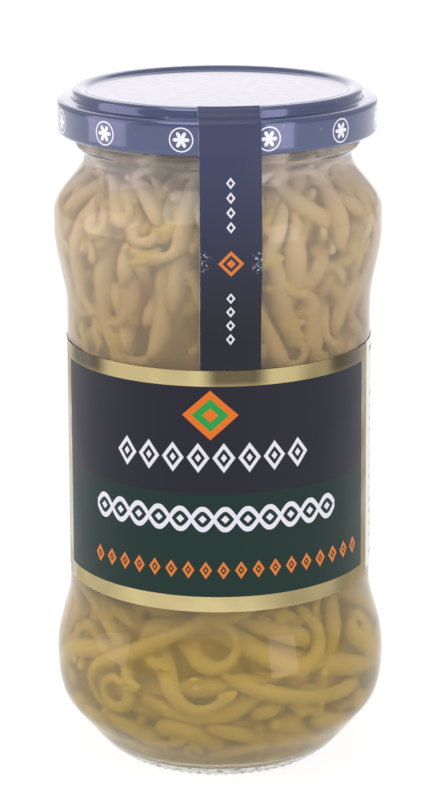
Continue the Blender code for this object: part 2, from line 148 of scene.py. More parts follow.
# Labels and seal strip, and where their print is
PAPER = 0.12
GLUE = 0.1
FRONT_LABEL_HEIGHTS = (40.7, 92.1)
FRONT_LABEL_SPAN = (math.radians(-78.4), math.radians(72.0))
BACK_LABEL_HEIGHTS = (41.9, 92.1)
BACK_LABEL_SPAN = (math.radians(72.8), math.radians(280.6))
LABEL_RADIUS = 32.8
STRIP_WIDTH = 12.4
STRIP_AZIMUTH = math.radians(4.2)
STRIP_LIFT = GLUE + 0.03
STRIP_OVER_STEP = [(30.35, 143.55), (30.75, 143.05), (31.3, LID_SHOULDER_Z + 0.3)]
PRINT_UNIT = 100.0
FOIL_SIDE = 3.1
FOIL_LOW_Z = 44.0
FOIL_HIGH_Z = 88.9
# Front label foil: where its painted highlight is brightest across the label, and the middles and half widths
# of the painted reflections that darken its top band
FOIL_PAINTED_HIGHLIGHT_AT = -8.0
FOIL_PAINTED_DARK_SPOTS = ((-33.5, 9.0), (3.5, 8.0), (31.5, 8.0))
DIVIDE_Z = 66.3
BADGE_Z = 82.9
BADGE_ACROSS = -1.8
NAME_ROW = {"span": (-22.9, 19.5), "z": 73.9, "half": (2.45, 3.3), "hole": 0.62, "count": 8}
ORANGE_ROW = {"span": (-30.3, 35.5), "z": 49.8, "half": (1.35, 2.0), "hole": 0.5, "count": 18}
BRAID_ROW = {"span": (-29.2, 26.9), "z": 60.8, "half": 2.2, "stroke": 0.5, "waves": 6}
BACK_MARGIN = 3.0
BACK_RULES = ((44.2, 44.7), (79.6, 80.1), (89.2, 90.4))
BACK_BLOCK = (47.0, 78.2)
BACK_LINE_PERIOD = 2.6
BACK_ROW = {"span": (60.0, 142.0), "z": 84.6, "half": (2.3, 2.3), "hole": 0.6, "count": 16}
STRIP_BADGE_Z = 114.6
STRIP_BADGE = 2.7
STRIP_ROWS = ((97.2, 108.8), (120.4, 132.0))
STRIP_ROW_PERIOD = 2.9

# Inks, foil, lacquer and paper, in linear light
WHITE_INK = (0.72, 0.72, 0.77)
ORANGE_INK = (0.66, 0.19, 0.03)
GREEN_PANEL = (0.006, 0.026, 0.021)
NAVY_PANEL = (0.013, 0.013, 0.024)
BADGE_ORANGE = (0.70, 0.155, 0.012)
FRONT_BADGE = ((5.9, 5.3, BADGE_ORANGE), (3.9, 3.5, (0.02, 0.30, 0.055)), (1.7, 1.5, BADGE_ORANGE))
# Foil colours: dull tone, bright tone of the painted highlight, and the colour of the painted reflections that
# darken the top band
FOIL_DULL, FOIL_BRIGHT, FOIL_PAINTED_DARK_REFLECTION = (0.22, 0.17, 0.08), (0.59, 0.49, 0.245), (0.05, 0.04, 0.025)
CREAM_PAPER = ((0.74, 0.72, 0.65), (0.80, 0.79, 0.73))
RULE_INK, FINE_INK, BACK_GREEN = (0.10, 0.12, 0.12), (0.20, 0.21, 0.22), (0.05, 0.17, 0.06)
# Seal strip navy, darkest at the bottom and lighter at the top: painted shade
STRIP_NAVY_PAINTED_SHADE = ((0.010, 0.011, 0.020), (0.048, 0.056, 0.114))
STRIP_BADGE_INKS = ((1.0, ORANGE_INK), (0.66, (0.022, 0.024, 0.048)), (0.36, ORANGE_INK))
SCUFFED = (0.34, 0.36, 0.44)
LACQUER_BLUE = ((0.055, 0.072, 0.165), (0.066, 0.086, 0.190))
LACQUER_WORN, LACQUER_WHITE = (0.30, 0.29, 0.33), (0.80, 0.80, 0.84)
COMPOUND = ((0.78, 0.76, 0.70), (0.86, 0.84, 0.79))

# Glass, brine and flesh: colours in the shoulder and the foot, and where they change
GLASS_INDEX = 1.5
GLASS_TINT = (0.97, 0.99, 0.975)
GLASS_SHADE = (0.97, 0.98, 0.97)
STIPPLE = ((0.24, 0.31, 0.26), (1.0, 1.0, 1.0))
BRINE_INDEX = 1.34
BUBBLE_INDEX = 0.75
BRINE_LOW = (0.645, 0.48, 0.13)
BRINE_UPPER = ((0.61, 0.455, 0.225), (0.76, 0.63, 0.43))
# Painted light: pale brine in the neck, where the lid's shade falls
BRINE_NECK_PAINTED_LIGHT = (0.95, 0.88, 0.82)
BRINE_SHADE = (0.97, 0.92, 0.80)
BRINE_HAZE = 0.3
FLESH_PALE = ((0.86, 0.76, 0.58), (0.80, 0.70, 0.42))
FLESH_WARM = ((0.74, 0.60, 0.40), (0.66, 0.54, 0.24))
# Painted shade of sprouts deep behind the glass, upper and low
FLESH_PAINTED_SHADE = ((0.86, 0.62, 0.38), (0.62, 0.45, 0.13))
# Random red-brown patches, the root tone, and painted light that pales the flesh in the neck
FLESH_PATCH, FLESH_ROOT, FLESH_NECK_PAINTED_LIGHT = (0.60, 0.34, 0.14), (0.42, 0.26, 0.10), (0.93, 0.86, 0.76)
SEED_LEAF = ((0.82, 0.70, 0.34), (0.74, 0.66, 0.25))

# Contents
BRINE_LEVEL_Z = 133.0
BRINE_GAP = 0.03
MENISCUS = 0.8
MENISCUS_CURVE = ((6.0, 0.0), (3.0, 0.02), (2.0, 0.1), (1.2, 0.28), (0.6, 0.55), (0.2, 0.85))
SPROUT_CLEARANCE = 0.45
STEM_RADIUS = 2.0
STATIONS = 24
STEM_SIDES = 10
STEM_FORM_SHARES = (0.0, 0.05, 0.16, 0.32, 0.8, 0.93, 1.0)
STEM_FORM = (0.46, 0.52, 0.6, 1.0, 0.96, 0.82, 0.5)
HOOK_STATIONS = 7
LEAF_LENGTH = 7.6
LEAF_WIDTH = 4.2
LEAF_THICKNESS = 1.5
UPSIDE_DOWN = 0.45
HEIGHT_TURN = 0.7549
SOFT_TOUCH = 0.78
NEAR = 40.0
DEEPEST = 9.0
CORE_DEPTH = 8.0
CORE_STEPS = 96
FLOOR_ZONE = {
    "heights": (4.3, 17.0), "count": 60, "lengths": (14, 30), "leans": (55, 90), "bends": 60,
    "hooks": (60, 260), "widths": (0.8, 1.1), "leaves": 0.6,
}
LOWER_ZONE = {
    "heights": (4.3, 46.5), "count": 300, "lengths": (28, 58), "leans": (20, 85), "bends": 90,
    "hooks": (120, 320), "widths": (0.85, 1.3), "leaves": 0.6,
}
MIDDLE_ZONE = {
    "heights": (44.5, 90.0), "count": 70, "lengths": (38, 58), "leans": (0, 45), "bends": 35,
    "hooks": (20, 120), "widths": (0.8, 1.1), "leaves": 0.8,
}
NECK_ZONE = {
    "heights": (112.0, 133.8), "count": 60, "lengths": (12, 21), "leans": (0, 60), "bends": 30,
    "hooks": (10, 200), "widths": (0.8, 1.15), "leaves": 0.9,
}
UPPER_ZONE = {
    "heights": (88.0, 133.5), "count": 380, "lengths": (16, 36), "leans": (0, 32), "bends": 24,
    "hooks": (10, 220), "widths": (0.85, 1.2), "leaves": 1.0,
}
BUNCHES = {"lower": (FLOOR_ZONE, LOWER_ZONE), "middle": (MIDDLE_ZONE,), "upper": (NECK_ZONE, UPPER_ZONE)}
FIRST_BUNCH_SEED = 11
BUBBLE_COUNT = 40
BUBBLE_CLUSTER = 12
BUBBLE_HEIGHTS = (122.5, 127.6)
BUBBLE_RADII = (0.18, 0.5)
BUBBLE_SEED = 5


def ease(value, low, high, start, end):
    """A smooth S from start to end as value runs from low to high."""
    share = min(max((value - low) / (high - low), 0.0), 1.0)
    return start + (end - start) * 0.5 * (1 - math.cos(math.pi * share))


def along(value, points):
    """The second number of rising points at a value of the first, on a smooth curve."""
    if value <= points[0][0]:
        return points[0][1]
    if value >= points[-1][0]:
        return points[-1][1]
    spot = max(i for i in range(len(points) - 1) if points[i][0] <= value)

    def slope(index):
        before, after = max(index - 1, 0), min(index + 1, len(points) - 1)
        rise = points[after][1] - points[before][1]
        return rise / (points[after][0] - points[before][0])

    run = points[spot + 1][0] - points[spot][0]
    share = (value - points[spot][0]) / run
    rest = 1 - share
    start, end = points[spot][1], points[spot + 1][1]
    level = start * (1 + 2 * share) * rest**2 + end * share**2 * (1 + 2 * rest)
    return level + run * share * rest * (slope(spot) * rest - slope(spot + 1) * share)


def glass_outer(z):
    """The jar's outer radius at a height, from the foot curve to the neck."""
    if z < BULGE_LOW_Z:
        return along(z, [*FOOT_CURVE, (BULGE_LOW_Z, BULGE_RADIUS)])
    if z < WAIST_LOW_Z:
        return ease(z, BULGE_HIGH_Z, WAIST_LOW_Z, BULGE_RADIUS, WAIST_LOW_RADIUS)
    if z < WAIST_HIGH_Z:
        share = (z - WAIST_LOW_Z) / (WAIST_HIGH_Z - WAIST_LOW_Z)
        return WAIST_LOW_RADIUS + share * (WAIST_HIGH_RADIUS - WAIST_LOW_RADIUS)
    if z < SHOULDER_LOW_Z:
        return ease(z, WAIST_HIGH_Z, SHOULDER_LOW_Z, WAIST_HIGH_RADIUS, SHOULDER_RADIUS)
    return ease(z, SHOULDER_HIGH_Z, NECK_Z, SHOULDER_RADIUS, NECK_RADIUS)


def glass_inner(z):
    """The jar's inner radius at a height, from the floor's edge to the neck."""
    if z < FLOOR_CURVE[-1][0]:
        return along(z, FLOOR_CURVE)
    return glass_outer(z) - GLASS_WALL


def inner_wall(z):
    """The inner radius from the floor's edge up to the mouth."""
    if z <= NECK_Z:
        return glass_inner(z)
    return min(MOUTH_RADIUS, glass_inner(NECK_Z) + 0.22 * (z - NECK_Z))


def wave(azimuth, z):
    """The slight unevenness of the jar's inner wall, in millimetres."""
    return 0.09 * math.sin(2 * azimuth + 0.07 * z) + 0.06 * math.sin(5 * azimuth - 0.13 * z + 1)


def outer_wave(azimuth, z):
    """The unevenness of the jar's outer wall, which never stands proud of its form."""
    return 0.25 * wave(azimuth + 1, z) - 0.04


def heights_between(low, high, step):
    """Even heights from low to high, both included, about a step apart."""
    count = max(1, round((high - low) / step))
    return [low + (high - low) * index / count for index in range(count + 1)]


def arc(centre, radius, start, end, count):
    """Points on an arc in a turned outline. Angles in degrees, 0 outwards and 90 up."""
    angles = [math.radians(start + (end - start) * index / count) for index in range(count + 1)]
    return [(centre[0] + radius * math.cos(angle), centre[1] + radius * math.sin(angle)) for angle in angles]


def around(radius, azimuth, z):
    """The point at a radius, an azimuth and a height, in metres."""
    return radius * math.sin(azimuth) * MM, -radius * math.cos(azimuth) * MM, z * MM


def add_piece(name, mesh, material, slot, *nodes):
    """Shows a mesh as a piece of the jar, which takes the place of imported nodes."""
    piece = bpy.data.objects.new(name, mesh)
    mesh.materials.clear()
    mesh.materials.append(material)
    bpy.context.scene.collection.objects.link(piece)
    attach(piece, BODY)
    if nodes:
        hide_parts(*nodes)
    return piece


def turned_mesh(name, outline, steps, bend=None, closed=False):
    """Turns an outline of (radius, height) round Z. bend(radius, height, azimuth) may move points."""
    shape = bmesh.new()
    rings = []
    for radius, height in outline:
        if radius < 1e-6:
            rings.append([shape.verts.new((0, 0, height * MM))])
            continue
        ring = []
        for step in range(steps):
            azimuth = 2 * math.pi * step / steps
            r, z = bend(radius, height, azimuth) if bend else (radius, height)
            ring.append(shape.verts.new(around(r, azimuth, z)))
        rings.append(ring)
    pairs = list(zip(rings, rings[1:]))
    if closed:
        pairs.append((rings[-1], rings[0]))
    for first, second in pairs:
        for step in range(steps):
            after = (step + 1) % steps
            corners = [first[step % len(first)], second[step % len(second)]]
            if len(second) > 1:
                corners.append(second[after])
            if len(first) > 1:
                corners.append(first[after])
            shape.faces.new(corners)
    bmesh.ops.recalc_face_normals(shape, faces=shape.faces)
    return finished_mesh(name, shape)


def finished_mesh(name, shape, sharp=math.radians(40)):
    """A mesh from an edited shape, shaded smooth between its sharp edges."""
    mesh = bpy.data.meshes.new(name)
    shape.to_mesh(mesh)
    shape.free()
    mesh.shade_smooth()
    mesh.set_sharp_from_angle(angle=sharp)
    return mesh


class Field:
    """What a node puts out. A plain sum on it adds a Math node."""

    def __init__(self, nodes, socket):
        self.nodes = nodes
        self.socket = socket

    def __add__(self, other):
        return self.nodes.math("ADD", self, other)

    def __sub__(self, other):
        return self.nodes.math("SUBTRACT", self, other)

    def __rsub__(self, other):
        return self.nodes.math("SUBTRACT", other, self)

    def __mul__(self, other):
        return self.nodes.math("MULTIPLY", self, other)

    def __truediv__(self, other):
        return self.nodes.math("DIVIDE", self, other)

    def __abs__(self):
        return self.nodes.math("ABSOLUTE", self)


class Nodes:
    """Short calls that add the nodes of one material or node group."""

    def __init__(self, tree):
        self.tree = tree

    def feed(self, socket, value):
        """Links a socket to what feeds it, or gives it a plain value."""
        value = value.socket if isinstance(value, Field) else value
        if isinstance(value, bpy.types.NodeSocket):
            self.tree.links.new(value, socket)
        else:
            socket.default_value = (*value, 1.0) if socket.type == "RGBA" else value

    def add(self, kind, inputs, **settings):
        node = self.tree.nodes.new(kind)
        for name, value in settings.items():
            setattr(node, name, value)
        for key, value in inputs.items():
            self.feed(node.inputs[key], value)
        return node

    def take(self, kind, inputs, output=0, **settings):
        """The output of a new node."""
        return Field(self, self.add(kind, inputs, **settings).outputs[output])

    def dress(self, shader, **values):
        """Feeds a shader's sockets. Underscores in a name stand for spaces."""
        for name, value in values.items():
            self.feed(shader.inputs[name.replace("_", " ")], value)

    def math(self, operation, *values):
        return self.take("ShaderNodeMath", dict(enumerate(values)), operation=operation)

    def ramp(self, value, low, high, start=0.0, end=1.0):
        """A smooth step from start to end as value runs from low to high."""
        inputs = {"Value": value, "From Min": low, "From Max": high, "To Min": start, "To Max": end}
        return self.take("ShaderNodeMapRange", inputs, interpolation_type="SMOOTHSTEP")

    def mix(self, share, first, second):
        """One colour turning into another, by a share or a mask."""
        return self.take("ShaderNodeMix", {0: share, 6: first, 7: second}, 2, data_type="RGBA")

    def place(self):
        """The Object coordinates."""
        return self.take("ShaderNodeTexCoord", {}, "Object")

    def split(self, vector):
        """The three numbers of a vector."""
        return [Field(self, socket) for socket in self.add("ShaderNodeSeparateXYZ", {0: vector}).outputs]

    def height(self):
        """The height over the table, in millimetres."""
        return self.split(self.place())[2] / MM

    def noise(self, scale, detail=3.0, roughness=0.5):
        """Noise at a scale per millimetre, over Object coordinates."""
        inputs = {"Vector": self.place(), "Scale": scale / MM, "Detail": detail, "Roughness": roughness}
        return self.take("ShaderNodeTexNoise", inputs, "Fac")

    def bump(self, shader, height, strength, distance):
        """A relief in millimetres, over what bends the shader's normal already."""
        inputs = {"Height": height, "Strength": strength, "Distance": distance * MM}
        normal = shader.inputs["Normal"]
        if normal.links:
            inputs["Normal"] = normal.links[0].from_socket
        self.feed(normal, self.take("ShaderNodeBump", inputs))

    def group(self, tree, *values):
        """A node group's first output, with its inputs fed in their order."""
        return self.take("ShaderNodeGroup", dict(enumerate(values)), node_tree=tree)


def make_group(name, output, inputs, recipe):
    """A shader node group. A recipe turns its inputs, which have defaults, into its output."""
    tree = bpy.data.node_groups.new(name, "ShaderNodeTree")
    for label, value in inputs.items():
        socket = tree.interface.new_socket(label, in_out="INPUT", socket_type="NodeSocketFloat")
        socket.default_value = value
    tree.interface.new_socket(output, in_out="OUTPUT", socket_type="NodeSocketFloat")
    nodes = Nodes(tree)
    entry = nodes.add("NodeGroupInput", {}).outputs
    result = recipe(nodes, *(Field(nodes, entry[label]) for label in inputs))
    nodes.add("NodeGroupOutput", {output: result})
    return tree


def band_recipe(nodes, value, low, high, soft):
    return nodes.ramp(value, low, low + soft) * nodes.ramp(value, high - soft, high, 1, 0)


def lozenge_recipe(nodes, across, up, half_width, half_height, soft):
    return nodes.ramp(abs(across) / half_width + abs(up) / half_height, 1 - soft, 1, 1, 0)


def row_recipe(nodes, value, start, period):
    return (nodes.math("FRACT", (value - start) / period) - 0.5) * period


def speck_recipe(nodes, scale, amount):
    return nodes.ramp(nodes.noise(scale, 2.0), amount, amount + 0.03)


BAND = make_group("band", "Mask", {"Value": 0, "Low": 0, "High": 1, "Soft": 0.05}, band_recipe)
LOZENGE_SIZES = {"Across": 0, "Up": 0, "Half Width": 1, "Half Height": 1, "Soft": 0.08}
LOZENGE = make_group("lozenge", "Mask", LOZENGE_SIZES, lozenge_recipe)
ROW = make_group("row", "Offset", {"Value": 0, "Start": 0, "Period": 5}, row_recipe)
SPECKS = make_group("specks", "Mask", {"Scale": 1.0, "Amount": 0.7}, speck_recipe)


def band(value, low, high, soft=0.05):
    """A mask that is 1 where a value lies between two limits, with soft edges."""
    return value.nodes.group(BAND, value, low, high, soft)


def lozenge(across, up, half_width, half_height, soft=0.08):
    """A mask of a lozenge round the origin."""
    return across.nodes.group(LOZENGE, across, up, half_width, half_height, soft)


def row(value, start, period):
    """The offset from the nearest middle of an even row of motifs."""
    return value.nodes.group(ROW, value, start, period)


def larger(first, second):
    return second.nodes.math("MAXIMUM", first, second)


def start_material(name):
    """A new material, the calls for its nodes and its Principled shader."""
    material = bpy.data.materials.new(name)
    material.use_nodes = True
    return material, Nodes(material.node_tree), material.node_tree.nodes["Principled BSDF"]


def let_lamps_through(nodes, shader, tint):
    """Lets lamp light through a clear piece without noise, while it still bends what is seen."""
    clear = nodes.add("ShaderNodeBsdfTransparent", {"Color": tint})
    shadow = nodes.add("ShaderNodeLightPath", {}).outputs["Is Shadow Ray"]
    mixed = nodes.add("ShaderNodeMixShader", {0: shadow, 1: shader.outputs[0], 2: clear.outputs[0]})
    nodes.feed(nodes.tree.nodes["Material Output"].inputs["Surface"], mixed.outputs[0])


def make_clear_glass(index, name):
    """Soda-lime glass with a faint green cast and the gentle ripple of a blown jar.

    Where brine wets the inner wall, the index is 1 and the brine's own skin does the bending.
    """
    material, nodes, shader = start_material(name)
    nodes.dress(shader, Base_Color=GLASS_TINT, Roughness=0.02, IOR=index, Transmission_Weight=1.0)
    if index > 1:
        nodes.bump(shader, nodes.noise(0.07), 0.12, 0.4)
    let_lamps_through(nodes, shader, GLASS_SHADE)
    return material


def make_stippled_glass():
    """The foot's pressed stipple, which scatters light and looks white."""
    material, nodes, shader = start_material("stippled glass")
    grain = nodes.noise(0.7, roughness=0.65)
    nodes.dress(shader, Base_Color=nodes.mix(nodes.ramp(grain, 0.40, 0.5), *STIPPLE), Roughness=0.25)
    nodes.dress(shader, IOR=GLASS_INDEX, Transmission_Weight=0.5)
    nodes.bump(shader, grain, 0.8, 0.5)
    let_lamps_through(nodes, shader, GLASS_SHADE)
    return material


def make_cloudy_brine(index, roughness, name):
    """Straw-coloured brine, cloudy enough to soften what lies in it, yellower near the floor, and pale in the
    neck with painted light.
    """
    material, nodes, shader = start_material(name)
    height = nodes.height()
    upper = nodes.mix(nodes.ramp(height, 94, 118), *BRINE_UPPER)
    body = nodes.mix(nodes.ramp(height, 85, 25), upper, BRINE_LOW)
    # Painted light: the brine turns pale in the neck, under the lid's shade
    body = nodes.mix(nodes.ramp(height, 122, 131), body, BRINE_NECK_PAINTED_LIGHT)
    haze = nodes.ramp(height, 85, 105, roughness, 1.8 * roughness)
    nodes.dress(shader, Base_Color=body, Roughness=haze, IOR=index, Transmission_Weight=0.68)
    let_lamps_through(nodes, shader, BRINE_SHADE)
    return material


def make_bubble():
    """Air in brine: the index is that of air over water."""
    material, nodes, shader = start_material("air bubble")
    white = (1.0, 1.0, 1.0)
    nodes.dress(shader, Base_Color=white, Roughness=0.02, IOR=BUBBLE_INDEX, Transmission_Weight=1.0)
    let_lamps_through(nodes, shader, white)
    return material


def make_sprout_flesh():
    """Cooked stems: cream at the glass, darker and warmer behind with painted shade, pale in the neck with
    painted light, with yellow seed leaves.

    The tone attribute holds the depth behind the glass, a chance number for each sprout and
    the place between its head and its root.
    """
    material, nodes, shader = start_material("sprout flesh")
    tone = nodes.take("ShaderNodeAttribute", {}, "Color", attribute_name="tone")
    parts = nodes.add("ShaderNodeSeparateColor", {"Color": tone}).outputs
    depth, chance, root = (Field(nodes, socket) for socket in parts)
    leaf = nodes.take("ShaderNodeAttribute", {}, "Fac", attribute_name="leaf")
    height = nodes.height()
    low = nodes.ramp(height, 50, 20)
    streaks = nodes.ramp(nodes.noise(0.35, 4), 0.3, 0.7, 0.5, 1.0)
    stem = nodes.mix(chance * streaks, nodes.mix(low, *FLESH_PALE), nodes.mix(low, *FLESH_WARM))
    stem = nodes.mix(nodes.ramp(root, 0.82, 1.0, 0.0, 0.7), stem, FLESH_ROOT)
    flesh = nodes.mix(leaf, stem, nodes.mix(chance, *SEED_LEAF))
    # Painted shade: sprouts deeper behind the glass turn darker and warmer, with random red-brown patches
    patches = nodes.ramp(nodes.noise(0.09, 2), 0.5, 0.66)
    painted_shade = nodes.mix(patches, nodes.mix(low, *FLESH_PAINTED_SHADE), FLESH_PATCH)
    flesh = nodes.mix(nodes.ramp(depth, 0.05, 0.95), flesh, painted_shade)
    # Painted light: the flesh turns pale in the neck, under the lid's shade
    flesh = nodes.mix(nodes.ramp(height, 119, 130), flesh, FLESH_NECK_PAINTED_LIGHT)
    nodes.dress(shader, Base_Color=flesh, Roughness=0.45, Specular_IOR_Level=0.25)
    nodes.bump(shader, nodes.noise(0.6), 0.2, 0.25)
    return material


def make_blue_lacquer():
    """Dark blue lacquer on tinplate, with a row of small white rosettes round the skirt."""
    material, nodes, shader = start_material("blue lacquer")
    x, y, z = (part / MM for part in nodes.split(nodes.place()))
    arc_length = nodes.math("ARCTAN2", x, y * -1) * LID_RADIUS
    across = row(arc_length, ROSETTE_SHIFT, 2 * math.pi * LID_RADIUS / ROSETTE_COUNT)
    up = z - ROSETTE_Z
    radius = nodes.math("SQRT", across * across + up * up)
    petal = abs(nodes.math("COSINE", nodes.math("ARCTAN2", up, across) * 3))
    flower = nodes.ramp(radius - (petal * 1.15 + 0.55), -0.06, 0.06, 1, 0)
    skirt = nodes.ramp(z, LID_SHOULDER_Z - 1.2, LID_SHOULDER_Z - 1.0, 1, 0)
    printed = larger(flower, band(radius, *ROSETTE_RING, 0.08)) * skirt
    worn = nodes.group(SPECKS, 0.9, 0.71) * 0.6
    paint = nodes.mix(worn, nodes.mix(nodes.noise(0.12), *LACQUER_BLUE), LACQUER_WORN)
    gloss = nodes.ramp(nodes.noise(0.5, 6), 0.3, 0.8, 0.16, 0.24)
    nodes.dress(shader, Base_Color=nodes.mix(printed, paint, LACQUER_WHITE), Roughness=gloss)
    nodes.dress(shader, Metallic=printed * -0.55 + 0.55, Coat_Weight=0.9, Coat_Roughness=0.04, Coat_IOR=1.55)
    nodes.bump(shader, nodes.noise(0.03, 1), 0.16, 0.6)
    return material


def make_compound():
    """Cream sealing compound, faintly pitted."""
    material, nodes, shader = start_material("sealing compound")
    pits = nodes.noise(1.5, 4)
    nodes.dress(shader, Base_Color=nodes.mix(pits, *COMPOUND), Roughness=0.55)
    nodes.bump(shader, pits, 0.3, 0.1)
    return material


def printed_paper(name):
    """A material of printed paper: its nodes, its shader, and its print coordinates in millimetres."""
    material, nodes, shader = start_material(name)
    across, up, _ = nodes.split(nodes.take("ShaderNodeUVMap", {}, uv_map="print"))
    return material, nodes, shader, across * PRINT_UNIT, up * PRINT_UNIT


def paper_skin(nodes, shader, strength=0.2, waves=0.0):
    """The faint tooth of coated paper glued on glass, and the slow waves that show in foil."""
    nodes.bump(shader, nodes.noise(4.0, 2), strength, 0.04)
    nodes.bump(shader, nodes.noise(0.055, 1) * (waves * 0.85 + 0.15), 1.0, 4.5)


def make_front_print():
    """The front label: a foil border round a navy panel over a green one, with ornament rows. The foil's
    colour holds a painted highlight and painted reflections that darken its top band.
    """
    material, nodes, shader, across, up = printed_paper("front label print")
    left, right = (angle * LABEL_RADIUS for angle in FRONT_LABEL_SPAN)
    panel = band(across, left + FOIL_SIDE, right - FOIL_SIDE) * band(up, FOIL_LOW_Z, FOIL_HIGH_Z)
    ink = nodes.mix(nodes.ramp(up, DIVIDE_Z - 0.05, DIVIDE_Z + 0.05), GREEN_PANEL, NAVY_PANEL)
    badge_across, badge_up = across - BADGE_ACROSS, up - BADGE_Z
    for half_width, half_height, colour in FRONT_BADGE:
        ink = nodes.mix(lozenge(badge_across, badge_up, half_width, half_height, 0.04), ink, colour)
    ink = nodes.mix(lozenge_chain(across, up, NAME_ROW), ink, WHITE_INK)
    ink = nodes.mix(braid(across, up, BRAID_ROW), ink, WHITE_INK)
    ink = nodes.mix(lozenge_chain(across, up, ORANGE_ROW), ink, ORANGE_INK)

    # Painted highlight: the foil is brightest round its middle, and noise adds painted patchy reflections
    painted_foil_sheen = nodes.ramp(abs(across - FOIL_PAINTED_HIGHLIGHT_AT), 34, 10, 0.0, 0.75)
    painted_foil_sheen += nodes.ramp(nodes.noise(0.05, 2), 0.35, 0.65, 0.0, 0.4)
    # Painted reflections that darken the ends and the middle of the foil's top band
    painted_dark_reflection = 0.0
    for centre, half in FOIL_PAINTED_DARK_SPOTS:
        painted_dark_reflection = larger(painted_dark_reflection, nodes.ramp(abs(across - centre), half, half * 0.45))
    painted_dark_reflection *= nodes.ramp(up, FOIL_HIGH_Z - 1.5, FOIL_HIGH_Z + 1.2, 0.0, 0.85)
    foil = nodes.mix(painted_dark_reflection, nodes.mix(painted_foil_sheen, FOIL_DULL, FOIL_BRIGHT), FOIL_PAINTED_DARK_REFLECTION)
    bare = 1 - panel
    nodes.dress(shader, Base_Color=nodes.mix(panel, foil, ink), Metallic=bare)
    nodes.dress(shader, Roughness=panel * 0.24 + 0.16, Specular_IOR_Level=0.22)
    paper_skin(nodes, shader, waves=bare)
    return material


def lozenge_chain(across, up, chain):
    """A row of open lozenges, each with a full one in its middle."""
    low, high = chain["span"]
    offset = row(across, low, (high - low) / chain["count"])
    rise = up - chain["z"]
    width, tall = chain["half"]
    shares = (1.0, chain["hole"], chain["hole"] * 0.45)
    whole, hole, heart = (lozenge(offset, rise, width * share, tall * share) for share in shares)
    return (whole - hole + heart) * band(across, low, high)


def braid(across, up, strands):
    """Two strands that wave past each other, with a dot in each eye."""
    nodes = across.nodes
    low, high = strands["span"]
    phase = (across - low) * (2 * math.pi * strands["waves"] / (high - low))
    swing = nodes.math("SINE", phase) * strands["half"]
    stroke = (abs(nodes.math("COSINE", phase)) * 0.5 + 1.0) * strands["stroke"]
    rise = up - strands["z"]
    mask = lozenge(row(across, low, (high - low) / strands["waves"] / 2), rise, 0.9, 0.9)
    for side in (1, -1):
        mask = larger(mask, nodes.ramp(abs(swing * side + rise) - stroke, -0.05, 0.05, 1, 0))
    return mask * band(across, low, high)


def make_back_print():
    """The back label: cream paper with a framed panel, ruled grey lines and a row of lozenges."""
    material, nodes, shader, across, up = printed_paper("back label print")
    left, right = (angle * LABEL_RADIUS for angle in BACK_LABEL_SPAN)
    paper = nodes.mix(nodes.noise(0.4), *CREAM_PAPER)
    inside = band(across, left + BACK_MARGIN, right - BACK_MARGIN)
    for low, high in BACK_RULES:
        paper = nodes.mix(inside * band(up, low, high), paper, RULE_INK)
    fine = band(abs(row(up, BACK_BLOCK[0], BACK_LINE_PERIOD)), -1.0, 0.42, 0.08)
    faded = nodes.ramp(nodes.noise(0.55, 5), 0.42, 0.58, 0.25, 0.75)
    paper = nodes.mix(band(up, *BACK_BLOCK) * inside * fine * faded, paper, FINE_INK)
    paper = nodes.mix(lozenge_chain(across, up, BACK_ROW), paper, BACK_GREEN)
    nodes.dress(shader, Base_Color=paper, Roughness=0.38, Coat_Weight=0.2, Coat_Roughness=0.2)
    paper_skin(nodes, shader)
    return material


def make_strip_print():
    """The seal strip: navy paper with painted shade that darkens it towards the bottom, a pale cut edge, a
    lozenge badge and worn spots beside it.
    """
    material, nodes, shader, across, up = printed_paper("seal strip print")
    half = STRIP_WIDTH / 2
    # Painted shade: the navy darkens towards the bottom of the strip
    ink = nodes.mix(nodes.ramp(up, 98.0, 142.0), *STRIP_NAVY_PAINTED_SHADE)
    offset = row(up, STRIP_ROWS[0][0], STRIP_ROW_PERIOD)
    small = lozenge(across, offset, 0.95, 1.2) - lozenge(across, offset, 0.45, 0.6)
    ink = nodes.mix(small * (band(up, *STRIP_ROWS[0]) + band(up, *STRIP_ROWS[1])), ink, WHITE_INK)
    badge_up = up - STRIP_BADGE_Z
    for share, colour in STRIP_BADGE_INKS:
        ink = nodes.mix(lozenge(across, badge_up, STRIP_BADGE * share, STRIP_BADGE * share), ink, colour)
    edge = nodes.ramp(nodes.noise(0.8) * 0.25 - across, half, half + 0.1) * 0.8
    beside = band(up, STRIP_BADGE_Z - 2.5, STRIP_BADGE_Z + 3.0, 1.0)
    rubbed = nodes.ramp(abs(across), half - 3.6, half - 0.6) * beside
    grain = rubbed * 0.16 + nodes.noise(2.4, 2)
    scuffs = nodes.ramp(grain, 0.74, 0.78) * nodes.ramp(rubbed, 0.02, 0.1)
    ink = nodes.mix(larger(edge, scuffs), ink, SCUFFED)
    nodes.dress(shader, Base_Color=ink, Roughness=0.36, Specular_IOR_Level=0.28)
    paper_skin(nodes, shader, 0.35)
    return material


def make_floor_paint():
    """The pale floor: a white table that is also lit from below."""
    material, nodes, shader = start_material("pale floor")
    grey = nodes.mix(nodes.noise(0.002), (0.22, 0.22, 0.22), (0.25, 0.25, 0.25))
    nodes.dress(shader, Base_Color=grey, Roughness=0.7)
    nodes.dress(shader, Emission_Color=(1.0, 1.0, 1.0), Emission_Strength=0.82)
    return material


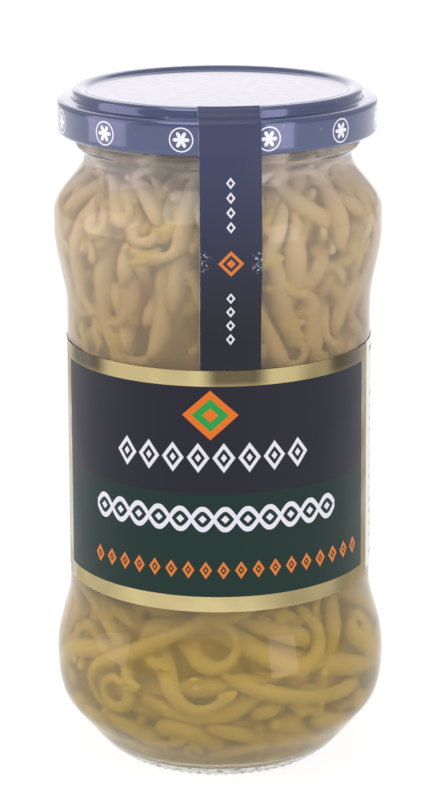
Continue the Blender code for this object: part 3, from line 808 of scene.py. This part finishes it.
def make_glass_jar():
    """The jar: underside, ribbed foot ring, bellied side, collar, threads, lip and inside."""
    outline = [(0, PUSH_UP_Z)]
    outline += [(r, ease(r, 0, UNDERSIDE_RADII[-1], PUSH_UP_Z, UNDERSIDE_EDGE_Z)) for r in UNDERSIDE_RADII]
    outline += FOOT_RING
    outline += [(glass_outer(z), z) for levels in OUTSIDE_LEVELS for z in heights_between(*levels)]
    outline += COLLAR
    outline += [(FINISH_RADIUS, z) for z in heights_between(134.9, FINISH_TOP_Z - 0.2, 0.5)]
    outline += [(LIP_RADIUS + 0.1, FINISH_TOP_Z + 0.3)]
    outline += arc((LIP_RADIUS - LIP_ROUND, LIP_TOP_Z - LIP_ROUND), LIP_ROUND, 0, 90, 4)
    outline += arc((MOUTH_RADIUS + LIP_ROUND, LIP_TOP_Z - LIP_ROUND), LIP_ROUND, 90, 180, 4)
    outline += [(MOUTH_RADIUS, z) for z in (139.0, 136.0, BRINE_LEVEL_Z + MENISCUS, 132.8)]
    inside = [*reversed(heights_between(100.0, 131.8, 1.8)), *WAIST_LEVELS]
    inside += reversed(heights_between(FLOOR_EDGE_Z, WAIST_LOW_Z, 1.4))
    outline += [(inner_wall(z), z) for z in inside]
    outline += floor_outline(0.0)

    def bend(radius, height, azimuth):
        if height < 1.0 and 21.0 < radius < 25.2:
            rib = 0.5 + 0.5 * math.cos(FOOT_RIBS * azimuth)
            return radius, height + FOOT_RIB_DEPTH * rib
        if radius > MOUTH_RADIUS + 1.5 and height > 135.5:
            return radius + thread_rise(height, azimuth), height
        if FLOOR_EDGE_Z < height < NECK_Z and radius < glass_inner(height) + 0.3:
            return radius + wave(azimuth, height), height
        return radius + outer_wave(azimuth, height), height

    mesh = turned_mesh("jar glass", outline, GLASS_STEPS, bend)
    add_piece("jar_glass", mesh, make_clear_glass(GLASS_INDEX, "clear glass"), "clear_glass", "glass_jar")
    mesh.materials.append(make_clear_glass(1.0, "glass under brine"))
    mesh.materials.append(make_stippled_glass())
    for face in mesh.polygons:
        radius, height = math.hypot(face.center.x, face.center.y) / MM, face.center.z / MM
        if FLOOR_EDGE_Z - 0.3 < height < BRINE_LEVEL_Z + MENISCUS and radius < inner_wall(height) + 0.6:
            face.material_index = 1
        elif height < STIPPLE_Z and radius > FOOT_RING_RADIUS - 1.0:
            face.material_index = 2


def floor_outline(rise):
    """The jar's inner floor from its edge to its middle."""
    return [(r, ease(r, 0, FLOOR_EDGE_RADIUS, FLOOR_CENTRE_Z, FLOOR_EDGE_Z) + rise) for r in FLOOR_RADII]


def thread_rise(height, azimuth):
    """How far a thread stands out of the finish at a height and azimuth."""
    turn = azimuth % (2 * math.pi / THREAD_COUNT) / THREAD_TURN
    if turn > 1:
        return 0.0
    middle = THREAD_TOP_Z - 0.4 - THREAD_DROP * turn
    away = abs(height - middle) / THREAD_WIDTH
    ends = min(1.0, 8 * min(turn, 1 - turn))
    return THREAD_DEPTH * ends * max(0.0, 1 - away**2) ** 0.5


def make_brine():
    """The brine, up to a level surface that climbs a little at the glass.

    Seen through the wall, its index is the one of brine against glass.
    """
    level = BRINE_LEVEL_Z + MENISCUS
    outline = [(0, BRINE_LEVEL_Z)]
    outline += [(inner_wall(level) - back, BRINE_LEVEL_Z + MENISCUS * up) for back, up in MENISCUS_CURVE]
    wall = [*reversed(heights_between(100.0, level, 1.8)), *WAIST_LEVELS]
    wall += reversed(heights_between(FLOOR_EDGE_Z + BRINE_GAP, WAIST_LOW_Z, 1.4))
    outline += [(inner_wall(z) - BRINE_GAP, z) for z in wall]
    outline += floor_outline(BRINE_GAP)

    def bend(radius, height, azimuth):
        if radius > inner_wall(max(height, FLOOR_EDGE_Z)) - 0.1 and height > FLOOR_EDGE_Z + 0.1:
            return radius + wave(azimuth, height) * (height < NECK_Z), height
        return radius, height

    mesh = turned_mesh("brine", outline, GLASS_STEPS, bend)
    wall_side = make_cloudy_brine(BRINE_INDEX / GLASS_INDEX, BRINE_HAZE, "cloudy brine")
    add_piece("brine_body", mesh, wall_side, "brine", "brine")
    mesh.materials.append(make_cloudy_brine(BRINE_INDEX, 0.05, "brine surface"))
    for face in mesh.polygons:
        face.material_index = int(face.center.z > (BRINE_LEVEL_Z - 0.1) * MM and face.normal.z > 0.2)


def make_lid():
    """The lid: panel, bead, step, skirt and curl, with the curl pressed into four lugs."""
    rise = LID_BEAD_TOP_Z - LID_PANEL_Z
    face = [(r, LID_PANEL_Z) for r in (0, 12.0, 22.0, LID_PANEL_RADIUS - 0.6)]
    for share in (0.15, 0.35, 0.6, 0.85):
        face.append((LID_PANEL_RADIUS - 0.3 + 1.5 * share, LID_PANEL_Z + ease(share, 0, 1, 0, rise)))
    bead = LID_STEP_RADIUS - 1.5
    face += arc((bead + 0.2, LID_BEAD_TOP_Z - LID_BEAD_ROUND), LID_BEAD_ROUND, 100, 10, 8)
    step = ((-0.12, 0.5), (0.05, 0.12), (0.45, 0.0))
    face += [(LID_STEP_RADIUS + out, LID_SHOULDER_Z + up) for out, up in step]
    corner = (LID_RADIUS - LID_SHOULDER_ROUND, LID_SHOULDER_Z - LID_SHOULDER_ROUND)
    face += arc(corner, LID_SHOULDER_ROUND, 90, 0, 8)
    face += [(LID_RADIUS, z) for z in (140.6, 139.2, 137.8, 136.9)]
    curl = arc((LID_RADIUS - LID_CURL_RADIUS, LID_EDGE_Z + LID_CURL_RADIUS), LID_CURL_RADIUS, 0, -270, 18)
    back = [(radius - LID_SHEET, height) for radius, height in reversed(face) if height < LID_SHOULDER_Z - 0.4]
    back += [(r, LID_SHOULDER_Z - LID_SHEET) for r in (LID_RADIUS - 1.0, LID_STEP_RADIUS)]
    back += [(LID_STEP_RADIUS - 0.4, LID_SHOULDER_Z + 0.4), (LID_STEP_RADIUS - 0.5, LID_BEAD_TOP_Z - 1.0)]
    back += [(bead, LID_BEAD_TOP_Z - LID_SHEET)]
    back += [(r, LID_PANEL_Z - LID_SHEET) for r in (LID_PANEL_RADIUS, 12.0, 0)]

    def bend(radius, height, azimuth):
        inner = LID_RADIUS - LID_CURL_RADIUS - radius
        if height > LID_EDGE_Z + LUG_REACH or inner < 0:
            return radius, height
        half_turn = math.pi / LUG_COUNT
        turn = (azimuth - LUG_AZIMUTH + half_turn) % (2 * half_turn) - half_turn
        share = max(0.0, 1 - (abs(turn) * LID_RADIUS / (LUG_WIDTH / 2)) ** 4)
        return radius - LUG_DEPTH * share * inner / LID_CURL_RADIUS, height

    mesh = turned_mesh("lid", face + curl + back, LID_STEPS, bend)
    add_piece("lid_shell", mesh, make_blue_lacquer(), "blue_lacquer", "lid_cap")


def make_gasket():
    """The ring of sealing compound over the glass lip."""
    low = LIP_TOP_Z + GASKET_GAP
    high = low + GASKET_THICKNESS - 0.1
    outline = arc((GASKET_INNER_RADIUS + 0.25, low + 0.25), 0.25, 270, 100, 6)
    outline += [(GASKET_INNER_RADIUS + 0.5, high - 0.05), (GASKET_OUTER_RADIUS - 0.2, high)]
    outline += [(GASKET_OUTER_RADIUS, high - 0.2), (GASKET_OUTER_RADIUS, low + 0.1)]
    outline += [(GASKET_OUTER_RADIUS - 0.5, low + 0.12)]
    mesh = turned_mesh("gasket", outline, LID_STEPS, closed=True)
    add_piece("lid_gasket_ring", mesh, make_compound(), "sealing_compound", "lid_gasket")


def paper_mesh(name, columns, rows, place):
    """A thin bent sheet: place(column share, row, lift) gives a point, with its print spot."""
    shape = bmesh.new()
    prints = {}
    sheets = []
    for lift in (0.0, PAPER):
        sheet = []
        for row_index in range(rows):
            line = []
            for column in range(columns + 1):
                point, spot = place(column / columns, row_index, lift)
                corner = shape.verts.new(point)
                prints[corner] = [part / PRINT_UNIT for part in spot]
                line.append(corner)
            sheet.append(line)
        sheets.append(sheet)
    under, top = sheets
    for r in range(rows - 1):
        for c in range(columns):
            shape.faces.new([top[r + i][c + j] for i, j in ((0, 0), (0, 1), (1, 1), (1, 0))])
            shape.faces.new([under[r + i][c + j] for i, j in ((0, 0), (1, 0), (1, 1), (0, 1))])
    rim = [(0, c) for c in range(columns)] + [(r, columns) for r in range(rows - 1)]
    rim += [(rows - 1, c) for c in range(columns, 0, -1)] + [(r, 0) for r in range(rows - 1, 0, -1)]
    for (r, c), (next_r, next_c) in zip(rim, rim[1:] + rim[:1]):
        shape.faces.new([under[r][c], under[next_r][next_c], top[next_r][next_c], top[r][c]])
    bmesh.ops.recalc_face_normals(shape, faces=shape.faces)
    layer = shape.loops.layers.uv.new("print")
    for face in shape.faces:
        for loop in face.loops:
            loop[layer].uv = prints[loop.vert]
    return finished_mesh(name, shape, math.radians(50))


def make_label(name, node, heights, span, material, slot):
    """A label wrapped round the waist. Its print runs with the arc and the height."""
    levels = heights_between(*heights, 1.6)
    columns = math.ceil((span[1] - span[0]) * LABEL_RADIUS / 1.2)

    def place(share, row_index, lift):
        azimuth = span[0] + share * (span[1] - span[0])
        z = levels[row_index]
        radius = glass_outer(z) + GLUE + lift + outer_wave(azimuth, z)
        return around(radius, azimuth, z), (azimuth * LABEL_RADIUS, z)

    add_piece(name, paper_mesh(name, columns, len(levels), place), material, slot, node)


def strip_course():
    """The strip's course in radius and height: over the bead, the step and the rim, then down."""
    bead = (LID_STEP_RADIUS - 1.3, LID_BEAD_TOP_Z - LID_BEAD_ROUND)
    course = arc(bead, LID_BEAD_ROUND + STRIP_LIFT, 88, 30, 4)
    course += [*STRIP_OVER_STEP, (31.9, LID_SHOULDER_Z + STRIP_LIFT + 0.03)]
    corner = (LID_RADIUS - LID_SHOULDER_ROUND, LID_SHOULDER_Z - LID_SHOULDER_ROUND)
    course += arc(corner, LID_SHOULDER_ROUND + STRIP_LIFT, 88, 4, 7)
    skirt = LID_RADIUS + STRIP_LIFT
    course += [(skirt, z) for z in (140.8, 139.0, 137.2, 136.2)]
    start = (skirt + 0.3, LID_EDGE_Z - 1.2)
    course += [(skirt + 0.12, LID_EDGE_Z + 0.1), start]
    touch = SHOULDER_HIGH_Z + 0.6
    end_radius = glass_outer(touch) + STRIP_LIFT
    for index in range(1, 10):
        share = index / 10
        z = start[1] + (touch - start[1]) * share
        radius = start[0] + (end_radius - start[0]) * ease(share, -0.3, 1.1, -0.06, 1.0)
        course.append((max(radius, glass_outer(z) + STRIP_LIFT), z))
    below = reversed(heights_between(FRONT_LABEL_HEIGHTS[1] + 0.15, touch, 1.1))
    return course + [(glass_outer(z) + STRIP_LIFT, z) for z in below]


def make_seal_strip():
    """The paper strip, which follows its course at an even width."""
    course = strip_course()

    def place(share, row_index, lift):
        radius, height = course[row_index]
        before, after = course[max(row_index - 1, 0)], course[min(row_index + 1, len(course) - 1)]
        out = Vector((before[1] - after[1], after[0] - before[0])).normalized()
        r = radius + out.x * lift
        across = (share - 0.5) * STRIP_WIDTH
        return around(r, STRIP_AZIMUTH + across / r, height + out.y * lift), (across, height)

    mesh = paper_mesh("seal strip", 14, len(course), place)
    add_piece("seal_strip_paper", mesh, make_strip_print(), "strip_paper", "seal_strip")


def sprout_course(draw, zone, index):
    """Azimuths, heights and radii of a sprout that lies along the wall, from its head."""
    low, high = zone["heights"]
    low, high = low + STEM_RADIUS, high - STEM_RADIUS
    step = draw.uniform(*zone["lengths"]) / (STATIONS - 1)
    side = draw.choice((-1, 1))
    lean = side * math.radians(draw.uniform(*zone["leans"])) + math.pi * (draw.random() < UPSIDE_DOWN)
    bend = math.radians(draw.gauss(0, zone["bends"])) / STATIONS
    hook = draw.choice((-1, 1)) * math.radians(draw.uniform(*zone["hooks"]))
    lean -= bend * STATIONS / 2
    mean_reach = glass_inner((low + high) / 2) - 3
    azimuth, z = 0.0, 0.0
    azimuths, heights = [], []
    for station in range(STATIONS):
        azimuths.append(azimuth)
        heights.append(z)
        curl = hook * max(0.0, 1 - station / HOOK_STATIONS)
        azimuth += math.sin(lean + curl) * step / mean_reach
        z += math.cos(lean + curl) * step
        lean += bend
    azimuths = np.array(azimuths) - azimuths[STATIONS // 2] + index * GOLDEN_TURN
    share = (index * HEIGHT_TURN + 0.1 * draw.random()) % 1.0
    heights = np.array(heights)
    heights *= min(1.0, (high - low) / np.ptp(heights))
    heights += low - heights.min() + (high - low - np.ptp(heights)) * share
    radius = STEM_RADIUS * draw.uniform(*zone["widths"])
    shares = np.linspace(0, 1, STATIONS)
    form = np.interp(shares, STEM_FORM_SHARES, STEM_FORM)
    lumps = 1 + 0.1 * np.sin(shares * draw.uniform(9, 17) + draw.uniform(0, 6))
    return azimuths, heights, radius * form * lumps


def wall_points(azimuths, heights, radii, depths):
    """Points behind the inner wall, at depths from it that are counted from the skin."""
    walls = np.array([glass_inner(z) for z in heights])
    slopes = np.array([glass_inner(z + 1) - glass_inner(z - 1) for z in heights]) / 2
    out = walls - (SPROUT_CLEARANCE + radii) * np.sqrt(1 + slopes**2) - depths
    return np.column_stack((out * np.sin(azimuths), -out * np.cos(azimuths), heights))


def settle_depths(course, placed, placed_radii):
    """Depths at which a sprout clears those that are in the jar already."""
    radii = course[2]
    depths = np.zeros(STATIONS)
    middle = wall_points(*course, depths).mean(axis=0)
    near = np.linalg.norm(placed - middle, axis=1) < NEAR
    placed, placed_radii = placed[near], placed_radii[near]
    for _ in range(20):
        points = wall_points(*course, depths)
        apart = np.linalg.norm(points[:, None] - placed[None], axis=2)
        crowded = (apart < SOFT_TOUCH * (radii[:, None] + placed_radii[None])).any(axis=1)
        if not crowded.any():
            break
        depths[crowded] += 0.6
        spread = depths.copy()
        spread[1:-1] = np.maximum(depths[1:-1], 0.5 * (depths[:-2] + depths[2:]))
        depths = 0.5 * spread + 0.5 * depths
    for _ in range(2):
        depths[1:-1] = 0.25 * depths[:-2] + 0.5 * depths[1:-1] + 0.25 * depths[2:]
    return depths


def capped(points, radii):
    """A stem's points and radii with two more at each end, which round it off."""
    head = (points[0] - points[1]) / np.linalg.norm(points[0] - points[1])
    tail = (points[-1] - points[-2]) / np.linalg.norm(points[-1] - points[-2])
    before = [points[0] + head * radii[0] * reach for reach in (0.85, 0.5)]
    after = [points[-1] + tail * radii[-1] * reach for reach in (0.5, 0.85)]
    all_radii = [radii[0] * 0.4, radii[0] * 0.82, *radii, radii[-1] * 0.82, radii[-1] * 0.4]
    return np.vstack((before, points, after)), np.array(all_radii)


def make_guides(name, zones, seed):
    """A wire mesh of the stems' courses, with a loose point for each seed leaf."""
    draw = random.Random(seed)
    guide = bmesh.new()
    layers = guide.verts.layers
    thickness = layers.float.new("thickness")
    tone = layers.float_color.new("tone")
    leaf_size = layers.float.new("leaf size")
    leaf_turn = layers.float_vector.new("leaf turn")
    placed = np.zeros((1, 3))
    placed_radii = np.zeros(1)
    tries = [(zone, index) for zone in zones for index in range(zone["count"])]
    for zone, index in tries:
        course = sprout_course(draw, zone, index)
        depths = settle_depths(course, placed, placed_radii)
        if depths.max() > DEEPEST:
            continue
        points = wall_points(*course, depths)
        placed = np.vstack((placed, points))
        placed_radii = np.append(placed_radii, course[2])
        chance = draw.random()
        rounded, radii = capped(points, course[2])
        # Depth share behind the glass, which sets the flesh's painted shade
        deep = np.interp(np.linspace(0, 1, len(radii)), np.linspace(0, 1, STATIONS), depths) / DEEPEST
        before = None
        for spot, (point, radius) in enumerate(zip(rounded, radii)):
            corner = guide.verts.new(point * MM)
            corner[thickness] = radius * MM
            corner[tone] = (deep[spot], chance, spot / (len(radii) - 1), 1.0)
            if before:
                guide.edges.new((before, corner))
            before = corner
        heading = Vector(points[0] - points[2]).normalized()
        outward = Vector((points[0][0], points[0][1], 0)).normalized()
        size = zone["leaves"] * draw.uniform(0.85, 1.25)
        for side in (-1, 1):
            opening = Matrix.Rotation(side * math.radians(draw.uniform(6, 24)), 3, outward)
            axis = opening @ heading
            place = Vector(points[0]) + axis * LEAF_LENGTH * 0.36 * size + heading.cross(outward) * side * 0.8
            place -= outward * leaf_excess(place, axis, size)
            corner = guide.verts.new(place * MM)
            corner[leaf_turn] = axis.to_track_quat("Z", "Y").to_matrix().to_euler()
            corner[leaf_size] = size
            corner[tone] = (deep[0], draw.random(), 0.0, 1.0)
    mesh = bpy.data.meshes.new(name)
    guide.to_mesh(mesh)
    guide.free()
    return mesh


def leaf_excess(place, axis, size):
    """How far a seed leaf at a place would reach past the inner wall."""
    excess = 0.0
    for share in (-0.5, 0.0, 0.5):
        spot = place + axis * LEAF_LENGTH * size * share
        wall = glass_inner(max(spot.z, FLOOR_EDGE_Z)) - SPROUT_CLEARANCE - LEAF_THICKNESS * size
        excess = max(excess, math.hypot(spot.x, spot.y) - wall)
    return excess


def leaf_mesh():
    """One seed leaf, half a bean: a lens pointing along Z."""
    shape = bmesh.new()
    bmesh.ops.create_uvsphere(shape, u_segments=10, v_segments=7, radius=1.0)
    for corner in shape.verts:
        x, y, z = corner.co
        taper = 1 - 0.12 * z
        thick = y * LEAF_THICKNESS * taper + 0.35 * z * z
        corner.co = Vector((x * LEAF_WIDTH / 2 * taper, thick, z * LEAF_LENGTH / 2)) * MM
    bmesh.ops.recalc_face_normals(shape, faces=shape.faces)
    return finished_mesh("seed leaf", shape)


def make_sprout_tree(leaf):
    """Geometry Nodes that turn guides into stems and set a leaf on each loose point."""
    tree = bpy.data.node_groups.new("sprouts", "GeometryNodeTree")
    sockets = {"Geometry": "Geometry", "Stem Sides": "Int", "Leaf Scale": "Float", "Flesh": "Material"}
    for label, kind in sockets.items():
        tree.interface.new_socket(label, in_out="INPUT", socket_type=f"NodeSocket{kind}")
    tree.interface.new_socket("Geometry", in_out="OUTPUT", socket_type="NodeSocketGeometry")
    nodes = Nodes(tree)
    guides, sides, leaf_scale, flesh = nodes.add("NodeGroupInput", {}).outputs[:4]

    def stored(name, kind):
        return nodes.take("GeometryNodeInputNamedAttribute", {"Name": name}, "Attribute", data_type=kind)

    def marked(geometry, value):
        inputs = {"Geometry": geometry, "Name": "leaf", "Value": value}
        return nodes.take("GeometryNodeStoreNamedAttribute", inputs)

    curve = nodes.take("GeometryNodeMeshToCurve", {"Mesh": guides})
    ring = nodes.take("GeometryNodeCurvePrimitiveCircle", {"Resolution": sides, "Radius": 1.0})
    thickness = stored("thickness", "FLOAT")
    stem_inputs = {"Curve": curve, "Profile Curve": ring, "Fill Caps": True, "Scale": thickness}
    stems = marked(nodes.take("GeometryNodeCurveToMesh", stem_inputs), 0.0)
    source = marked(nodes.take("GeometryNodeObjectInfo", {"Object": leaf}, "Geometry"), 1.0)
    size = stored("leaf size", "FLOAT")
    chosen = nodes.take("FunctionNodeCompare", {0: size, 1: 0.01}, operation="GREATER_THAN")
    turn = nodes.take("FunctionNodeEulerToRotation", {0: stored("leaf turn", "FLOAT_VECTOR")})
    points = {"Points": guides, "Selection": chosen, "Instance": source}
    points.update({"Rotation": turn, "Scale": size * leaf_scale})
    leaves = nodes.take("GeometryNodeInstanceOnPoints", points)
    joined = nodes.add("GeometryNodeJoinGeometry", {0: leaves})
    nodes.feed(joined.inputs[0], stems)
    real = nodes.take("GeometryNodeRealizeInstances", {"Geometry": joined.outputs[0]})
    smooth = nodes.take("GeometryNodeSetShadeSmooth", {"Geometry": real})
    painted = nodes.take("GeometryNodeSetMaterial", {"Geometry": smooth, "Material": flesh})
    nodes.add("NodeGroupOutput", {"Geometry": painted})
    return tree


def grown_mesh(name, guides, tree, flesh):
    """The guides as stems and leaves: the tree's result as a plain mesh."""
    grower = bpy.data.objects.new(name, guides)
    bpy.context.scene.collection.objects.link(grower)
    growth = grower.modifiers.new("grow", "NODES")
    growth.node_group = tree
    values = {"Stem Sides": STEM_SIDES, "Leaf Scale": 1.0, "Flesh": flesh}
    for socket in tree.interface.items_tree:
        if socket.in_out == "INPUT" and socket.name in values:
            growth[socket.identifier] = values[socket.name]
    graph = bpy.context.evaluated_depsgraph_get()
    mesh = bpy.data.meshes.new_from_object(grower.evaluated_get(graph), depsgraph=graph)
    bpy.data.objects.remove(grower, do_unlink=True)
    return mesh


def core_mesh(zone):
    """The middle of a bunch, which the outer sprouts hide, coloured with the flesh's full painted shade."""
    low, high = zone["heights"]
    levels = heights_between(low + 1.5, high - 1.5, 4.0)
    outline = [(0, levels[0]), *((glass_inner(z) - CORE_DEPTH, z) for z in levels), (0, levels[-1])]

    def bend(radius, height, azimuth):
        lump = 0.9 * math.sin(9 * azimuth + 0.3 * height) + 0.7 * math.sin(17 * azimuth - 0.5 * height)
        return radius + lump, height

    mesh = turned_mesh("core", outline, CORE_STEPS, bend)
    # Depth 1: the core takes the flesh's full painted shade
    for item in mesh.attributes.new("tone", "FLOAT_COLOR", "POINT").data:
        item.color = (1.0, 0.5, 0.5, 1.0)
    mesh.attributes.new("leaf", "FLOAT", "POINT")
    return mesh


def joined_mesh(name, first, second):
    """Two meshes as one."""
    shape = bmesh.new()
    shape.from_mesh(first)
    shape.from_mesh(second)
    mesh = bpy.data.meshes.new(name)
    shape.to_mesh(mesh)
    shape.free()
    return mesh


def make_sprouts():
    """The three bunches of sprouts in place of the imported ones."""
    flesh = make_sprout_flesh()
    leaf = bpy.data.objects.new("seed leaf", leaf_mesh())
    tree = make_sprout_tree(leaf)
    for seed, (name, zones) in enumerate(BUNCHES.items(), FIRST_BUNCH_SEED):
        guides = make_guides(f"{name} guides", zones, seed)
        grown = grown_mesh(f"{name} growth", guides, tree, flesh)
        mesh = joined_mesh(f"{name} sprouts", grown, core_mesh(zones[-1]))
        add_piece(f"{name}_sprouts", mesh, flesh, "sprout_flesh", f"sprouts_{name}")
    bpy.data.objects.remove(leaf, do_unlink=True)


def make_bubbles():
    """A few small bubbles caught under the brine's surface at the glass."""
    draw = random.Random(BUBBLE_SEED)
    shape = bmesh.new()
    for index in range(BUBBLE_COUNT):
        clustered = index < BUBBLE_CLUSTER
        azimuth = math.radians(draw.gauss(-9, 5)) if clustered else draw.uniform(-math.pi, math.pi)
        z = draw.uniform(*BUBBLE_HEIGHTS)
        radius = draw.uniform(*BUBBLE_RADII)
        place = Matrix.Translation(around(glass_inner(z) - radius - 0.25, azimuth, z))
        bmesh.ops.create_icosphere(shape, subdivisions=2, radius=radius * MM, matrix=place)
    add_piece("bubbles", finished_mesh("bubbles", shape, math.pi), make_bubble(), "brine")


def make_floor():
    """A wide round floor, which is the stage and not a part of the jar."""
    shape = bmesh.new()
    bmesh.ops.create_circle(shape, cap_ends=True, segments=96, radius=FLOOR_RADIUS * MM)
    floor = bpy.data.objects.new("floor", finished_mesh("floor", shape))
    floor.data.materials.append(make_floor_paint())
    bpy.context.scene.collection.objects.link(floor)


def make_lamp(name, azimuth, elevation, distance, size, power, colour):
    """A soft lamp aimed at the jar's middle from an azimuth and elevation in degrees."""
    data = bpy.data.lights.new(name, "AREA")
    data.shape = "RECTANGLE"
    data.size, data.size_y = size
    data.energy = power
    data.color = colour
    lamp = bpy.data.objects.new(name, data)
    lift = math.radians(elevation)
    flat, rise = distance * math.cos(lift) / MM, distance * math.sin(lift) / MM
    lamp.location = LAMP_TARGET + Vector(around(flat, math.radians(azimuth), rise))
    lamp.rotation_euler = (lamp.location - LAMP_TARGET).to_track_quat("Z", "Y").to_euler()
    lamp.visible_camera = False
    bpy.context.scene.collection.objects.link(lamp)


def make_light():
    """A soft box at each side, a wide one behind, a large one above and a pale room."""
    for name, values in LAMPS.items():
        make_lamp(name, *values)
    world = bpy.data.worlds.new("pale room")
    world.use_nodes = True
    sky = world.node_tree.nodes["Background"]
    sky.inputs["Color"].default_value = ROOM_COLOUR
    sky.inputs["Strength"].default_value = ROOM_STRENGTH
    bpy.context.scene.world = world


def make_camera():
    """The camera, set as it was fitted to the photograph."""
    data = bpy.data.cameras.new("camera")
    data.sensor_fit = "VERTICAL"
    data.sensor_height = CAMERA_SENSOR
    data.lens = CAMERA_LENS
    camera = bpy.data.objects.new("camera", data)
    camera.location = Vector(CAMERA_PLACE) * MM
    turn = Matrix.Rotation(CAMERA_YAW, 4, "Z") @ Matrix.Rotation(math.pi / 2 - CAMERA_PITCH, 4, "X")
    camera.rotation_euler = (turn @ Matrix.Rotation(CAMERA_ROLL, 4, "Z")).to_euler()
    bpy.context.scene.collection.objects.link(camera)
    bpy.context.scene.camera = camera


bpy.context.scene.view_settings.view_transform = "Standard"
make_camera()
make_floor()
make_light()
make_glass_jar()
make_brine()
make_bubbles()
make_sprouts()
make_lid()
make_gasket()
front, back = (FRONT_LABEL_HEIGHTS, FRONT_LABEL_SPAN), (BACK_LABEL_HEIGHTS, BACK_LABEL_SPAN)
make_label("front_label_paper", "front_label", *front, make_front_print(), "label_paper")
make_label("back_label_paper", "back_label", *back, make_back_print(), "pale_paper")
make_seal_strip()
